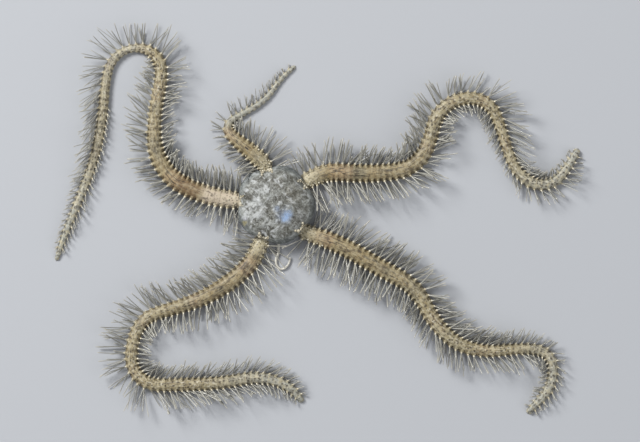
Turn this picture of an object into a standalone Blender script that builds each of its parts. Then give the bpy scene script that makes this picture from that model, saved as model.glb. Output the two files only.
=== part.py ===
"""A brittle star, life size, lying on its mouth side with its five arms bent as in the picture.

Run it with blender --background --python part.py, or from Blender's text editor.
Everything is shaped at one unit to the millimetre, where Blender's tools have room to work,
and each finished mesh is then scaled to metres. +Z is up and the floor is z = 0.
"""

import math
import random

import bmesh
import bpy
import numpy as np
from mathutils import Matrix, Vector

MM = 0.001
SEED = 7
GAP = 0.3

# The disc. Its middle stands here, so that the whole animal's box is centred on the origin
MIDDLE = Vector((-6.43, 2.37, 0.0))
NOTCH_RADIUS = 4.95
LOBE_RADIUS = 5.75
LOBE_FULLNESS = 0.7
LOBE_BEARINGS = (69, 141, 213, 285, 357)
DISC_TOP = 4.2
DISC_RIM = 2.1
LOBE_UNDERSIDE = 0.5
DISC_COLUMNS = 40
DISC_ROWS = 14

# The mouth frame is a star plate on the floor with a stub toward each arm, round a ring of five jaws
FRAME_HEIGHT = 1.35
STUB_REACH = 4.95
STUB_WIDTH = 2.3
SHIELD_REACH = 3.2
MOUTH_RING_RADIUS = 2.4
JAW_TIP_RADIUS = 0.62
JAW_BACK_RADIUS = 1.75
JAW_HALF_WIDTH = 1.0
JAW_HEIGHT = 1.2

# The bay that the disc leaves over each arm's root
BAY_START = 4.9
BAY_END = 7.5
BAY_WIDTH = 3.3
BAY_HEIGHT = 2.25

# The curled tube foot: distance out from the disc's middle along its bearing, then a hook
FOOT_RADIUS = 0.25
FOOT_BEARING = 274
FOOT_ROUTE = ((4.9, 0.0, 0.75), (5.6, 0.0, 0.45), (6.4, 0.0, 0.26), (7.1, -0.1, 0.26),
              (8.1, -0.6, 0.26), (9.1, -0.4, 0.26), (9.5, 0.4, 0.26), (8.8, 1.3, 0.26),
              (7.8, 1.6, 0.26))

# The arms. One plate pitch is one joint of the arm, with a spine on each side
ARM_START = 5.25
RING_PITCH = 1.05
PLATE_PITCH = 0.85
SPINE_SIDES = 3
SPINE_ROOT_RADIUS = 0.34
SPINE_TIP_RADIUS = 0.2
THIN_ARM_SHARE = 0.3
SPINE_INSET = 0.22
SPINE_LEVEL = 0.4
SHORTEST_SPINE = 0.55
UPPER_TILT_DEG = 36.0
LOWER_TILT_DEG = 8.0
SAMPLES = 8
BALL_SHARE = 0.22
BALL_PITCH = 0.3
END_MARGIN = 0.6

# Half of an arm's section for a width of 1: flat sole, bulging side, low crown
SECTION = ((0.3, 0.0), (0.5, 0.3), (0.38, 0.62), (0.14, 0.78))

# Each arm leaves the disc's middle on a bearing and then follows arcs of (run in mm, turn in degrees).
# Its stations give distance, width, left spine, right spine (mm) and the spines' lean (degrees).
ARMS = {
    "arm_1": {
        "bearing": 37,
        "arcs": ((1.2, -11), (1.0, -4), (2.8, -24), (2.4, -1), (6.2, 11), (5.5, 56), (3.3, 15),
                 (8.5, -91), (3.5, -53), (3.0, -10), (4.4, 8), (3.7, 35), (5.3, 83), (4.6, 14)),
        "cuts": (11.5, 21.5, 30.2, 39.5, 48.0),
        "stations": (
            (0, 2.4, 2.8, 3.4, -5), (3, 2.7, 3.1, 3.4, 15), (8, 2.75, 2.7, 3.0, 25),
            (13, 2.6, 2.3, 2.9, 35), (17, 2.4, 3.0, 3.3, 35), (21, 2.2, 3.3, 2.4, 35),
            (25, 2.1, 3.0, 1.5, 20), (29, 2.0, 2.5, 1.3, 25), (33, 1.9, 3.2, 1.8, 25),
            (37, 1.7, 3.3, 1.6, 35), (41, 1.6, 2.8, 1.0, 45), (46, 1.75, 1.4, 1.9, 35),
            (51, 1.6, 0.7, 2.0, 25), (54, 1.2, 0.9, 1.3, 25), (56.1, 0.9, 0.9, 1.0, 30),
        ),
    },
    "arm_2": {
        "bearing": 105,
        "arcs": ((1.0, 22), (1.0, 12), (4.3, 2), (1.3, -18), (2.2, -92), (3.3, -2), (4.2, 27),
                 (4.6, -20)),
        "cuts": (6.2, 14.5),
        "stations": (
            (0, 2.1, 2.6, 3.0, 5), (2, 2.6, 2.4, 3.3, 15), (5, 2.3, 1.9, 2.6, 30),
            (7.5, 1.8, 1.9, 1.5, 30), (9.5, 1.1, 1.8, 0.4, 15), (13, 0.95, 1.6, 0.3, 35),
            (17, 0.85, 1.2, 0.3, 45), (21.9, 0.6, 0.9, 0.6, 40),
        ),
    },
    "arm_3": {
        "bearing": 174,
        "arcs": ((3.9, -7), (4.5, -15), (8.6, -61), (7.0, -14), (2.9, 16), (4.3, 76), (6.6, 87),
                 (3.5, 10), (3.5, -3), (10.0, -15), (7.0, 0), (4.7, 6)),
        "cuts": (12.5, 24.0, 33.0, 43.0, 55.0),
        "stations": (
            (0, 2.5, 3.3, 3.1, 5), (4, 2.8, 2.4, 3.0, 15), (9, 2.8, 2.3, 2.0, 25),
            (14, 2.5, 2.9, 1.9, 25), (20, 2.0, 3.2, 2.0, 25), (25, 2.0, 2.2, 2.6, 20),
            (29, 1.75, 0.6, 3.4, 10), (33, 1.2, 0.0, 3.5, 0), (38, 1.4, 0.0, 3.2, 30),
            (44, 1.5, 0.5, 3.2, 50), (52, 1.4, 0.7, 2.2, 50), (58, 1.25, 1.0, 1.0, 45),
            (63, 1.0, 0.8, 0.7, 45), (66.5, 0.6, 0.6, 0.6, 45),
        ),
    },
    "arm_4": {
        "bearing": 249,
        "arcs": ((1.0, -4), (1.7, -1), (2.5, -20), (9.0, -24), (4.0, -5), (2.0, 8), (3.0, 40),
                 (4.5, 29), (6.0, 88), (7.5, 3), (3.0, 7), (2.0, -1), (4.0, -22), (5.7, -47)),
        "cuts": (9.5, 19.5, 27.0, 36.0, 46.5),
        "stations": (
            (0, 2.3, 3.5, 3.0, 5), (3, 2.6, 3.6, 3.1, 10), (8, 2.6, 3.0, 2.8, 20),
            (14, 2.3, 2.7, 2.7, 25), (19, 2.0, 1.9, 3.4, 20), (24, 1.9, 1.6, 3.5, 15),
            (29, 1.9, 1.9, 3.3, 10), (34, 2.0, 2.1, 3.2, 30), (40, 1.95, 2.3, 2.7, 42),
            (46, 1.85, 2.3, 2.2, 45), (51, 1.6, 1.9, 1.6, 40), (54, 1.3, 1.1, 1.2, 35),
            (55.6, 0.9, 0.9, 1.0, 35),
        ),
    },
    "arm_5": {
        "bearing": 317,
        "arcs": ((1.2, 25), (3.0, -3), (5.0, -10), (6.5, 3), (5.5, -36), (5.5, 20), (4.0, 30),
                 (4.5, 21), (4.1, -8), (2.0, -25), (2.5, -58), (5.3, -51), (2.9, 4)),
        "cuts": (10.5, 20.5, 30.5, 42.8),
        "stations": (
            (0, 2.3, 3.4, 3.0, -10), (4, 2.6, 3.0, 3.6, 5), (8, 2.75, 3.1, 3.2, 15),
            (14, 2.65, 3.0, 3.1, 20), (20, 2.4, 2.8, 2.6, 30), (26, 2.2, 3.1, 2.9, 35),
            (31, 2.0, 2.8, 2.4, 35), (36, 1.75, 2.2, 2.6, 35), (40, 1.6, 1.6, 2.0, 30),
            (44, 1.5, 1.1, 1.1, 30), (48, 1.5, 1.0, 1.2, 35), (51.6, 1.0, 0.9, 1.0, 35),
        ),
    },
}
LENGTH_NAMES = ("base", "inner", "mid", "outer", "far", "tip")


class Route:
    """An arm's middle line on the floor, with its width and spines at each distance."""

    def __init__(self, arm):
        bearing = math.radians(arm["bearing"])
        x = MIDDLE.x + ARM_START * math.cos(bearing)
        y = MIDDLE.y + ARM_START * math.sin(bearing)
        distance, heading = 0.0, bearing
        rows = [(distance, x, y, heading)]
        for run, turn in arm["arcs"]:
            steps = math.ceil(run / 0.1)
            for _ in range(steps):
                half_turn = math.radians(turn) / steps / 2
                heading += half_turn
                x += run / steps * math.cos(heading)
                y += run / steps * math.sin(heading)
                heading += half_turn
                distance += run / steps
                rows.append((distance, x, y, heading))
        self.rows = np.array(rows)
        self.stations = np.array(arm["stations"])
        self.length = distance

    def line(self, distance, column):
        return float(np.interp(distance, self.rows[:, 0], self.rows[:, column]))

    def station(self, distance, column):
        return float(np.interp(distance, self.stations[:, 0], self.stations[:, column]))

    def point(self, distance):
        return Vector((self.line(distance, 1), self.line(distance, 2), 0.0))

    def heading(self, distance):
        return self.line(distance, 3)

    def width(self, distance):
        return self.station(distance, 1)


def clear_scene():
    for obj in list(bpy.data.objects):
        bpy.data.objects.remove(obj)
    for collection in list(bpy.data.collections):
        bpy.data.collections.remove(collection)


def new_collection(name, hidden=False):
    collection = bpy.data.collections.new(name)
    bpy.context.scene.collection.children.link(collection)
    collection.hide_render = hidden
    return collection


def new_material(name, colour, roughness):
    material = bpy.data.materials.new(name)
    material.use_nodes = True
    shader = material.node_tree.nodes["Principled BSDF"]
    shader.inputs["Base Color"].default_value = (*colour, 1.0)
    shader.inputs["Roughness"].default_value = roughness
    return material


def mesh_object(name, bm, collection):
    mesh = bpy.data.meshes.new(name)
    bm.to_mesh(mesh)
    bm.free()
    obj = bpy.data.objects.new(name, mesh)
    collection.objects.link(obj)
    return obj


def curve_to_mesh(curve_object, collection):
    """Replaces a curve by its mesh, with the caps welded to the sides."""
    bpy.context.view_layer.update()
    graph = bpy.context.evaluated_depsgraph_get()
    mesh = bpy.data.meshes.new_from_object(curve_object.evaluated_get(graph))
    name, place = curve_object.name, curve_object.matrix_world.copy()
    bpy.data.objects.remove(curve_object)
    bm = bmesh.new()
    bm.from_mesh(mesh)
    bpy.data.meshes.remove(mesh)
    bmesh.ops.remove_doubles(bm, verts=bm.verts, dist=0.0001)
    bmesh.ops.recalc_face_normals(bm, faces=bm.faces)
    obj = mesh_object(name, bm, collection)
    obj.matrix_world = place
    return obj


def keep_largest(obj):
    """Leaves only the largest closed surface of a mesh."""
    bm = bmesh.new()
    bm.from_mesh(obj.data)
    bm.faces.ensure_lookup_table()
    unseen = set(bm.faces)
    pieces = []
    while unseen:
        edge_of_piece = [unseen.pop()]
        piece = set(edge_of_piece)
        while edge_of_piece:
            face = edge_of_piece.pop()
            for edge in face.edges:
                for other in edge.link_faces:
                    if other in unseen:
                        unseen.remove(other)
                        piece.add(other)
                        edge_of_piece.append(other)
        pieces.append(piece)
    largest = max(pieces, key=len)
    loose = [face for face in bm.faces if face not in largest]
    bmesh.ops.delete(bm, geom=loose, context="FACES")
    bmesh.ops.delete(bm, geom=[v for v in bm.verts if not v.link_faces], context="VERTS")
    bm.to_mesh(obj.data)
    bm.free()


def apply_boolean(obj, collection, operation):
    """Joins or cuts with every object of a collection, which goes afterwards."""
    modifier = obj.modifiers.new("join", "BOOLEAN")
    modifier.operation = operation
    modifier.operand_type = "COLLECTION"
    modifier.collection = collection
    modifier.solver = "EXACT"
    bpy.context.view_layer.objects.active = obj
    bpy.ops.object.modifier_apply(modifier=modifier.name)
    for used in list(collection.objects):
        bpy.data.objects.remove(used)
    bpy.data.collections.remove(collection)
    keep_largest(obj)


def lobe_radius(bearing):
    """How far the disc reaches on a bearing (radians): a lobe between each two arms, a notch at each."""
    wave = abs(math.cos(2.5 * (bearing - math.radians(LOBE_BEARINGS[0]))))
    return NOTCH_RADIUS + (LOBE_RADIUS - NOTCH_RADIUS) * wave**LOBE_FULLNESS


def outline(name, splines, bottom, top, collection):
    """A plate with this outline, closed by the curve's own fill."""
    curve = bpy.data.curves.new(name, "CURVE")
    curve.dimensions = "2D"
    curve.fill_mode = "BOTH"
    curve.extrude = (top - bottom) / 2
    for points in splines:
        spline = curve.splines.new("POLY")
        spline.points.add(len(points) - 1)
        for place, (x, y) in zip(spline.points, points):
            place.co = (x, y, 0.0, 1.0)
        spline.use_cyclic_u = True
    obj = bpy.data.objects.new(name, curve)
    collection.objects.link(obj)
    obj.location = (MIDDLE.x, MIDDLE.y, (top + bottom) / 2)
    return curve_to_mesh(obj, collection)


def polar(radius, bearing):
    return radius * math.cos(bearing), radius * math.sin(bearing)


def star_points(grow):
    """The mouth frame's outline: two corners for each stub and a point at each shield between two arms."""
    points = []
    half = STUB_WIDTH / 2 + grow
    for arm, lobe in zip(ARMS.values(), LOBE_BEARINGS):
        bearing, between = math.radians(arm["bearing"]), math.radians(lobe)
        x, y = polar(STUB_REACH + grow, bearing)
        for side in (-half, half):
            points.append((x - side * math.sin(bearing), y + side * math.cos(bearing)))
        points.append(polar(SHIELD_REACH + grow, between))
    return points


def ring_points(radius, count):
    return [polar(radius, 2 * math.pi * i / count) for i in range(count)]


def build_mouth_frame(parts):
    ring = ring_points(MOUTH_RING_RADIUS, 25)
    return outline("mouth_frame", [star_points(0.0), ring], 0.0, FRAME_HEIGHT, parts)


def build_jaws(parts):
    """Five wedges between the arms, pointing at the middle of the mouth."""
    corners = ((JAW_TIP_RADIUS, 0.0), (JAW_BACK_RADIUS, -JAW_HALF_WIDTH),
               (JAW_BACK_RADIUS, JAW_HALF_WIDTH))
    jaws = []
    for number, lobe in enumerate(LOBE_BEARINGS, 1):
        turn = Matrix.Rotation(math.radians(lobe), 2)
        points = [tuple(turn @ Vector(corner)) for corner in corners]
        jaws.append(outline(f"jaw_{number}", [points], 0.0, JAW_HEIGHT, parts))
    return jaws


def build_disc(parts):
    bm = bmesh.new()
    bmesh.ops.create_uvsphere(bm, u_segments=DISC_COLUMNS, v_segments=DISC_ROWS, radius=1.0)
    for vert in bm.verts:
        across, up = math.hypot(vert.co.x, vert.co.y), vert.co.z
        bearing = math.atan2(vert.co.y, vert.co.x)
        reach = lobe_radius(bearing) * across
        rise = DISC_TOP - DISC_RIM if up > 0 else DISC_RIM - LOBE_UNDERSIDE
        vert.co = (*polar(reach, bearing), DISC_RIM + rise * up)
    disc = mesh_object("disc", bm, parts)
    disc.location = MIDDLE
    rooms = new_collection("disc_rooms", hidden=True)
    outline("frame_room", [star_points(GAP)], -1.0, FRAME_HEIGHT + GAP, rooms)
    for arm in ARMS.values():
        bearing = math.radians(arm["bearing"])
        bm = bmesh.new()
        bmesh.ops.create_cube(bm, size=1.0)
        bay = mesh_object("arm_bay", bm, rooms)
        x, y = polar((BAY_START + BAY_END) / 2, bearing)
        bay.matrix_world = (
            Matrix.Translation((MIDDLE.x + x, MIDDLE.y + y, BAY_HEIGHT / 2 - 0.5))
            @ Matrix.Rotation(bearing, 4, "Z")
            @ Matrix.Diagonal((BAY_END - BAY_START, BAY_WIDTH, BAY_HEIGHT + 1.0, 1.0))
        )
    apply_boolean(disc, rooms, "DIFFERENCE")
    return disc


def tube(name, points, radius, parts):
    curve = bpy.data.curves.new(name, "CURVE")
    curve.dimensions = "3D"
    curve.bevel_depth = radius
    curve.bevel_resolution = 1
    curve.use_fill_caps = True
    spline = curve.splines.new("POLY")
    spline.points.add(len(points) - 1)
    for place, point in zip(spline.points, points):
        place.co = (*point, 1.0)
    obj = bpy.data.objects.new(name, curve)
    parts.objects.link(obj)
    return curve_to_mesh(obj, parts)


def foot_points():
    """The tube foot's route in the world, rounded off between its own points."""
    turn = Matrix.Rotation(math.radians(FOOT_BEARING), 3, "Z")
    knots = np.array([MIDDLE + turn @ Vector(knot) for knot in FOOT_ROUTE])
    for _ in range(2):
        near, far = knots[:-1], knots[1:]
        cut = np.stack([near * 0.75 + far * 0.25, near * 0.25 + far * 0.75], axis=1)
        knots = np.concatenate([knots[:1], cut.reshape(-1, 3), knots[-1:]])
    return [Vector(knot) for knot in knots]


def arm_lengths(arm, route):
    """(name, start, end) of each length of an arm, with the gap between two taken off both."""
    ends = [0.0, *arm["cuts"], route.length]
    names = [*LENGTH_NAMES[: len(ends) - 2], LENGTH_NAMES[-1]]
    last = len(names) - 1
    return [
        (name, ends[i] + (GAP / 2 if i else 0.0), ends[i + 1] - (GAP / 2 if i < last else 0.0))
        for i, name in enumerate(names)
    ]


def section_profile(guides):
    """The arm's section as a closed curve, one unit wide."""
    curve = bpy.data.curves.new("arm_section", "CURVE")
    curve.dimensions = "2D"
    half = list(SECTION)
    points = half + [(-x, y) for x, y in reversed(half)]
    spline = curve.splines.new("POLY")
    spline.points.add(len(points) - 1)
    for place, (x, y) in zip(spline.points, points):
        place.co = (x, y, 0.0, 1.0)
    spline.use_cyclic_u = True
    profile = bpy.data.objects.new("arm_section", curve)
    guides.objects.link(profile)
    return profile


def build_core(name, route, start, end, profile, parts):
    """The flesh and plates of one length of arm, swept along its route."""
    curve = bpy.data.curves.new(name, "CURVE")
    curve.dimensions = "3D"
    curve.twist_mode = "Z_UP"
    curve.bevel_mode = "OBJECT"
    curve.bevel_object = profile
    curve.use_fill_caps = True
    rings = max(2, round((end - start) / RING_PITCH) + 1)
    spline = curve.splines.new("POLY")
    spline.points.add(rings - 1)
    for place, distance in zip(spline.points, np.linspace(start, end, rings)):
        place.co = (*route.point(distance), 1.0)
        place.radius = route.width(distance)
    obj = bpy.data.objects.new(name, curve)
    parts.objects.link(obj)
    return curve_to_mesh(obj, parts)


class Spine:
    """One spine: a slim cone from inside its arm out to a blunt tip."""

    def __init__(self, route, distance, side, length, lean, tilt):
        width = route.width(distance)
        across = route.heading(distance) + side * math.pi / 2
        toward = across - side * math.radians(lean)
        tilt = math.radians(tilt)
        inset = SPINE_INSET * width
        self.direction = Vector((math.cos(toward) * math.cos(tilt),
                                 math.sin(toward) * math.cos(tilt), math.sin(tilt)))
        self.root = route.point(distance) + Vector((inset * math.cos(across),
                                                    inset * math.sin(across), SPINE_LEVEL * width))
        self.sunk = width / 2 - inset
        self.length = self.sunk + length / math.cos(tilt)
        self.root_radius = min(SPINE_ROOT_RADIUS, THIN_ARM_SHARE * width)
        self.tip_radius = min(SPINE_TIP_RADIUS, self.root_radius * 0.7)

    def samples(self):
        """Points along the bare part of the spine with the radius there, to keep it clear."""
        shares = np.linspace(self.sunk / self.length, 1.0, SAMPLES)[:, None]
        places = np.array(self.root) + shares * self.length * np.array(self.direction)
        radii = self.root_radius + shares * (self.tip_radius - self.root_radius)
        return np.hstack([places, radii])

    def build(self, collection):
        bm = bmesh.new()
        bmesh.ops.create_cone(bm, cap_ends=True, segments=SPINE_SIDES, radius1=self.root_radius,
                              radius2=self.tip_radius, depth=self.length)
        spine = mesh_object("spine", bm, collection)
        middle = self.root + self.direction * self.length / 2
        turn = self.direction.to_track_quat("Z", "Y").to_matrix().to_4x4()
        spine.matrix_world = Matrix.Translation(middle) @ turn
        return spine


def core_samples(route, start, end):
    """Balls that fill one length of arm, in three rows, and end flush with it."""
    rows = []
    inset = BALL_SHARE * route.width(start)
    for distance in np.arange(start + inset, end - inset, BALL_PITCH):
        width = route.width(distance)
        middle, across = route.point(distance), route.heading(distance) + math.pi / 2
        for share in (-0.5 + BALL_SHARE, 0.0, 0.5 - BALL_SHARE):
            ball = middle + width * share * Vector((math.cos(across), math.sin(across), 0.0))
            rows.append((ball.x, ball.y, SPINE_LEVEL * width, BALL_SHARE * width))
    return np.array(rows)


def clear_of_disc(samples):
    out = samples[:, :2] - np.array(MIDDLE)[:2]
    reach = np.hypot(out[:, 0], out[:, 1])
    edge = np.array([lobe_radius(math.atan2(y, x)) for x, y in out])
    return bool((reach - edge >= GAP + samples[:, 3]).all())


def clear_of(samples, others):
    apart = np.linalg.norm(samples[:, None, :3] - others[None, :, :3], axis=2)
    return bool((apart - samples[:, None, 3] - others[None, :, 3] >= GAP).all())


def plan_spines(lengths, foot):
    """Every length's spines, each drawn, then turned or shortened until it clears the other nodes."""
    draw = random.Random(SEED)
    taken = {name: core_samples(route, start, end) for name, route, start, end in lengths}
    taken["tube_foot"] = np.array([(*point, FOOT_RADIUS) for point in foot])
    plan = {}
    for name, route, start, end in lengths:
        others = np.concatenate([rows for other, rows in taken.items() if other != name])
        spines = []
        first, last = start + END_MARGIN * PLATE_PITCH, end - END_MARGIN * PLATE_PITCH
        count = round((last - first) / PLATE_PITCH) + 1
        for joint, distance in enumerate(np.linspace(first, last, count)):
            for column, side in ((2, 1), (3, -1)):
                length = route.station(distance, column) * draw.uniform(0.82, 1.1)
                lean = route.station(distance, 4) + draw.uniform(-9, 9)
                upper = (joint + column) % 2
                tilt = (UPPER_TILT_DEG if upper else LOWER_TILT_DEG) + draw.uniform(-6, 6)
                if length < SHORTEST_SPINE:
                    continue
                for change, share in ((0, 1), (14, 1), (-14, 1), (0, 0.75), (22, 0.75), (-22, 0.75),
                                      (0, 0.5), (25, 0.5), (-25, 0.5)):
                    spine = Spine(route, distance, side, length * share, lean + change, tilt)
                    samples = spine.samples()
                    if clear_of_disc(samples) and clear_of(samples, others):
                        spines.append(spine)
                        break
        if spines:
            taken[name] = np.concatenate([taken[name], *(spine.samples() for spine in spines)])
        plan[name] = spines
    return plan


def build_arms(parts, guides):
    profile = section_profile(guides)
    lengths = []
    for arm_name, arm in ARMS.items():
        route = Route(arm)
        for length_name, start, end in arm_lengths(arm, route):
            lengths.append((f"{arm_name}_{length_name}", route, start, end))
    plan = plan_spines(lengths, foot_points())
    built = []
    for name, route, start, end in lengths:
        core = build_core(name, route, start, end, profile, parts)
        spines = new_collection(name + "_spines", hidden=True)
        for spine in plan[name]:
            spine.build(spines)
        apply_boolean(core, spines, "UNION")
        built.append(core)
    bpy.data.objects.remove(profile)
    return built


def to_metres(obj, material):
    """Scales a finished piece to metres about the world's origin and gives it its material."""
    place = obj.matrix_world.copy()
    obj.data.transform(Matrix.Scale(MM, 4) @ place)
    obj.matrix_world = Matrix.Identity(4)
    obj.data.materials.clear()
    obj.data.materials.append(material)
    obj.data.shade_smooth()
    obj.data.set_sharp_from_angle(angle=math.radians(35))


def main():
    clear_scene()
    parts = new_collection("brittle_star")
    guides = new_collection("guides", hidden=True)
    disc = build_disc(parts)
    frame = build_mouth_frame(parts)
    jaws = build_jaws(parts)
    foot = tube("tube_foot", foot_points(), FOOT_RADIUS, parts)
    arms = build_arms(parts, guides)
    to_metres(disc, new_material("disc_skin", (0.3, 0.31, 0.3), 0.45))
    to_metres(frame, new_material("mouth_plates", (0.72, 0.68, 0.6), 0.5))
    to_metres(foot, new_material("tube_foot_skin", (0.6, 0.6, 0.56), 0.4))
    for jaw in jaws:
        to_metres(jaw, new_material(jaw.name + "_plates", (0.75, 0.66, 0.5), 0.5))
    for arm in arms:
        to_metres(arm, new_material(arm.name + "_plates", (0.5, 0.41, 0.26), 0.5))


main()
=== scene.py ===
# %% [markdown]
# A brittle star, dressed on its CAD solids.
# The solids give the size, the pose and the names. This lesson adds what they only hint at: a
# jointed arm skin with its limy plates, glassy spines on every joint, the mottled disc with its
# shields, and the mouth side. It begins with Blender, the frame that holds the solids, and their
# box.

# %% The frame and its box
import math
import random

import bpy
import numpy as np
from mathutils import Matrix, Vector, noise


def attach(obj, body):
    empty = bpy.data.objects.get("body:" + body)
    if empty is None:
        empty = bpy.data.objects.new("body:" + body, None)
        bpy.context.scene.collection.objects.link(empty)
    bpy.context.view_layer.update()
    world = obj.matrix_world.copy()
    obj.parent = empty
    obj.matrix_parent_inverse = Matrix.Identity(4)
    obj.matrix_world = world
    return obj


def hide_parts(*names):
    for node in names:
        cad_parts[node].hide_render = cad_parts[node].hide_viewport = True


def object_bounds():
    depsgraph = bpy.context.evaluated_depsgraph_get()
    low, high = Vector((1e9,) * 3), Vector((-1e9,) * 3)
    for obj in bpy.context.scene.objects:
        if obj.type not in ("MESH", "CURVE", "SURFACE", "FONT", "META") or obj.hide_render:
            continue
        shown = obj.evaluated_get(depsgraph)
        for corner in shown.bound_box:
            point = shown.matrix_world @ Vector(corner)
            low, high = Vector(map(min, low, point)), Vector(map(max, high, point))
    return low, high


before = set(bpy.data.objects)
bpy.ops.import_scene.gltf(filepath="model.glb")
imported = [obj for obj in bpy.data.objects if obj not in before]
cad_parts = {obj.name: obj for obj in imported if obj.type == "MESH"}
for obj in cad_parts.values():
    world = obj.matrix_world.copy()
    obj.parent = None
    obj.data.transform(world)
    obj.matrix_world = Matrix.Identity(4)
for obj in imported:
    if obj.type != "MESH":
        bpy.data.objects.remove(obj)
cad_low, cad_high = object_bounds()
MM = 0.001
cad_box = [round(v / MM, 1) for v in (*cad_low, *cad_high)]
print("solids:", len(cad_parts), "box in mm:", cad_box)

# %% [markdown]
# Small animals are awkward in metres, because Blender's merge distances and grids are made for
# furniture. Everything here is shaped at one unit to the millimetre, and each finished piece is
# scaled to metres about the origin. These helpers keep one rule of work by hand: nothing is
# selected before a new shape is added, because an operator acts on all that is selected. In the
# same way, each visit to edit mode starts by saying what is selected there.

# %% Helpers for work by hand
def nothing_selected():
    for obj in bpy.context.selected_objects:
        obj.select_set(False)


def only(obj):
    """Makes this the one selected and active object."""
    nothing_selected()
    obj.select_set(True)
    bpy.context.view_layer.objects.active = obj


def added(operator, **options):
    """Adds a primitive with nothing else selected, and returns it."""
    nothing_selected()
    operator(**options)
    return bpy.context.object


def linked(name, data):
    """A new object in the scene that shows some data."""
    obj = bpy.data.objects.new(name, data)
    bpy.context.scene.collection.objects.link(obj)
    return obj


def applied(obj, kind, **settings):
    """Adds one modifier and applies it."""
    only(obj)
    modifier = obj.modifiers.new(kind.lower(), kind)
    for key, value in settings.items():
        setattr(modifier, key, value)
    bpy.ops.object.modifier_apply(modifier=modifier.name)


def moved(obj, place):
    """Moves each point of a mesh to place(point): the pushes and pulls of sculpting, in code."""
    for vert in obj.data.vertices:
        vert.co = place(vert.co)
    obj.data.update()


def editing(obj, kind="FACE", action="SELECT"):
    """Enters edit mode to select by edge or by face, with everything or nothing selected."""
    only(obj)
    kinds = ("VERT", "EDGE", "FACE")
    bpy.context.tool_settings.mesh_select_mode = [kind == each for each in kinds]
    bpy.ops.object.mode_set(mode="EDIT")
    bpy.ops.mesh.select_all(action=action)


def edited():
    """Leaves edit mode."""
    bpy.ops.object.mode_set(mode="OBJECT")


def pick(obj, kind, test):
    """Enters edit mode with only the edges or the faces that pass a test selected."""
    editing(obj, kind, "DESELECT")
    edited()
    for item in obj.data.edges if kind == "EDGE" else obj.data.polygons:
        item.select = bool(test(item))
    bpy.ops.object.mode_set(mode="EDIT")


def settled(obj):
    """Bakes an object's place, turn and size into its mesh."""
    only(obj)
    bpy.ops.object.transform_apply(location=True, rotation=True, scale=True)
    return obj


# %% [markdown]
# The picture is a plate of three views. The one that shows the whole animal looks straight down on
# its back, so the camera does too, from high up with a long lens, which keeps the small disc and
# the far arm tips at one scale. The floor is a plain pale plane, and the light is a broad soft box
# with a weaker one opposite, because the spines only read when they catch a long highlight.

# %% Camera, floor and light
VIEW_WIDTH = 92.7
CAMERA_HEIGHT = 600.0
SENSOR = 36.0
FLOOR_SIZE = 4.0
SKY_COLOUR, SKY_STRENGTH = (0.9, 0.93, 1.0, 1.0), 0.42

lens = bpy.data.cameras.new("camera")
lens.type = "PERSP"
lens.sensor_width = SENSOR
lens.lens = SENSOR * CAMERA_HEIGHT / VIEW_WIDTH
lens.clip_start, lens.clip_end = 0.01, 20.0
camera = linked("camera", lens)
camera.location = (0.0, 0.0, CAMERA_HEIGHT * MM)
bpy.context.scene.camera = camera

floor = added(bpy.ops.mesh.primitive_plane_add, size=FLOOR_SIZE, location=(0, 0, 0))
floor.name = "floor"


def soft_box(name, place, width, watts):
    """A square studio light that faces the origin."""
    light = bpy.data.lights.new(name, "AREA")
    light.shape, light.size, light.energy = "SQUARE", width, watts
    lamp = linked(name, light)
    lamp.location = place
    lamp.rotation_euler = (-Vector(place)).to_track_quat("-Z", "Y").to_euler()


soft_box("key", (-0.4, 0.35, 0.45), width=0.25, watts=6.0)
soft_box("fill", (0.5, -0.25, 0.4), width=0.5, watts=1.3)
world = bpy.data.worlds.new("studio")
world.use_nodes = True
background = world.node_tree.nodes["Background"]
background.inputs["Color"].default_value = SKY_COLOUR
background.inputs["Strength"].default_value = SKY_STRENGTH
bpy.context.scene.world = world
bpy.context.scene.view_settings.view_transform = "Standard"
print("lens in mm:", round(lens.lens, 1))

# %% [markdown]
# Finishes are written as arithmetic. A field wraps one socket, so that a mask can be written as
# 1 - mask * 0.5 and each sign adds its Math node. Most masks rise or fall in one smooth step
# between two values.

# %% Shader arithmetic
def sign(operation, swapped=False):
    """A field's method for one sign of arithmetic."""
    def method(self, *others):
        return self.maths(operation, *((*others, self) if swapped else (self, *others)))
    return method


class Field:
    """One output of a node, with arithmetic."""

    def __init__(self, finish, socket):
        self.finish, self.socket = finish, socket

    def maths(self, operation, *values):
        return self.finish.node("ShaderNodeMath", {"operation": operation},
                                dict(enumerate(values)))

    __add__, __mul__, __pow__ = sign("ADD"), sign("MULTIPLY"), sign("POWER")
    __sub__, __rsub__ = sign("SUBTRACT"), sign("SUBTRACT", swapped=True)
    __abs__, fract = sign("ABSOLUTE"), sign("FRACT")

    def rising(self, low, high):
        """0 below low, 1 above high, and a smooth step between."""
        return self.finish.node("ShaderNodeMapRange", {"interpolation_type": "SMOOTHSTEP"},
                                {"Value": self, "From Min": low, "From Max": high})

    def falling(self, low, high):
        """1 below low, 0 above high, and a smooth step between."""
        return 1 - self.rising(low, high)

    def near(self, place, full, end):
        """1 up to the distance full from a place, and 0 from the distance end."""
        return abs(self - place).falling(full, end)


# %% [markdown]
# A finish holds the material and adds any other node from its type, its settings and its sockets.
# It lays coats of colour over one another with Mix nodes, because a Math node would turn a colour
# grey.

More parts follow.
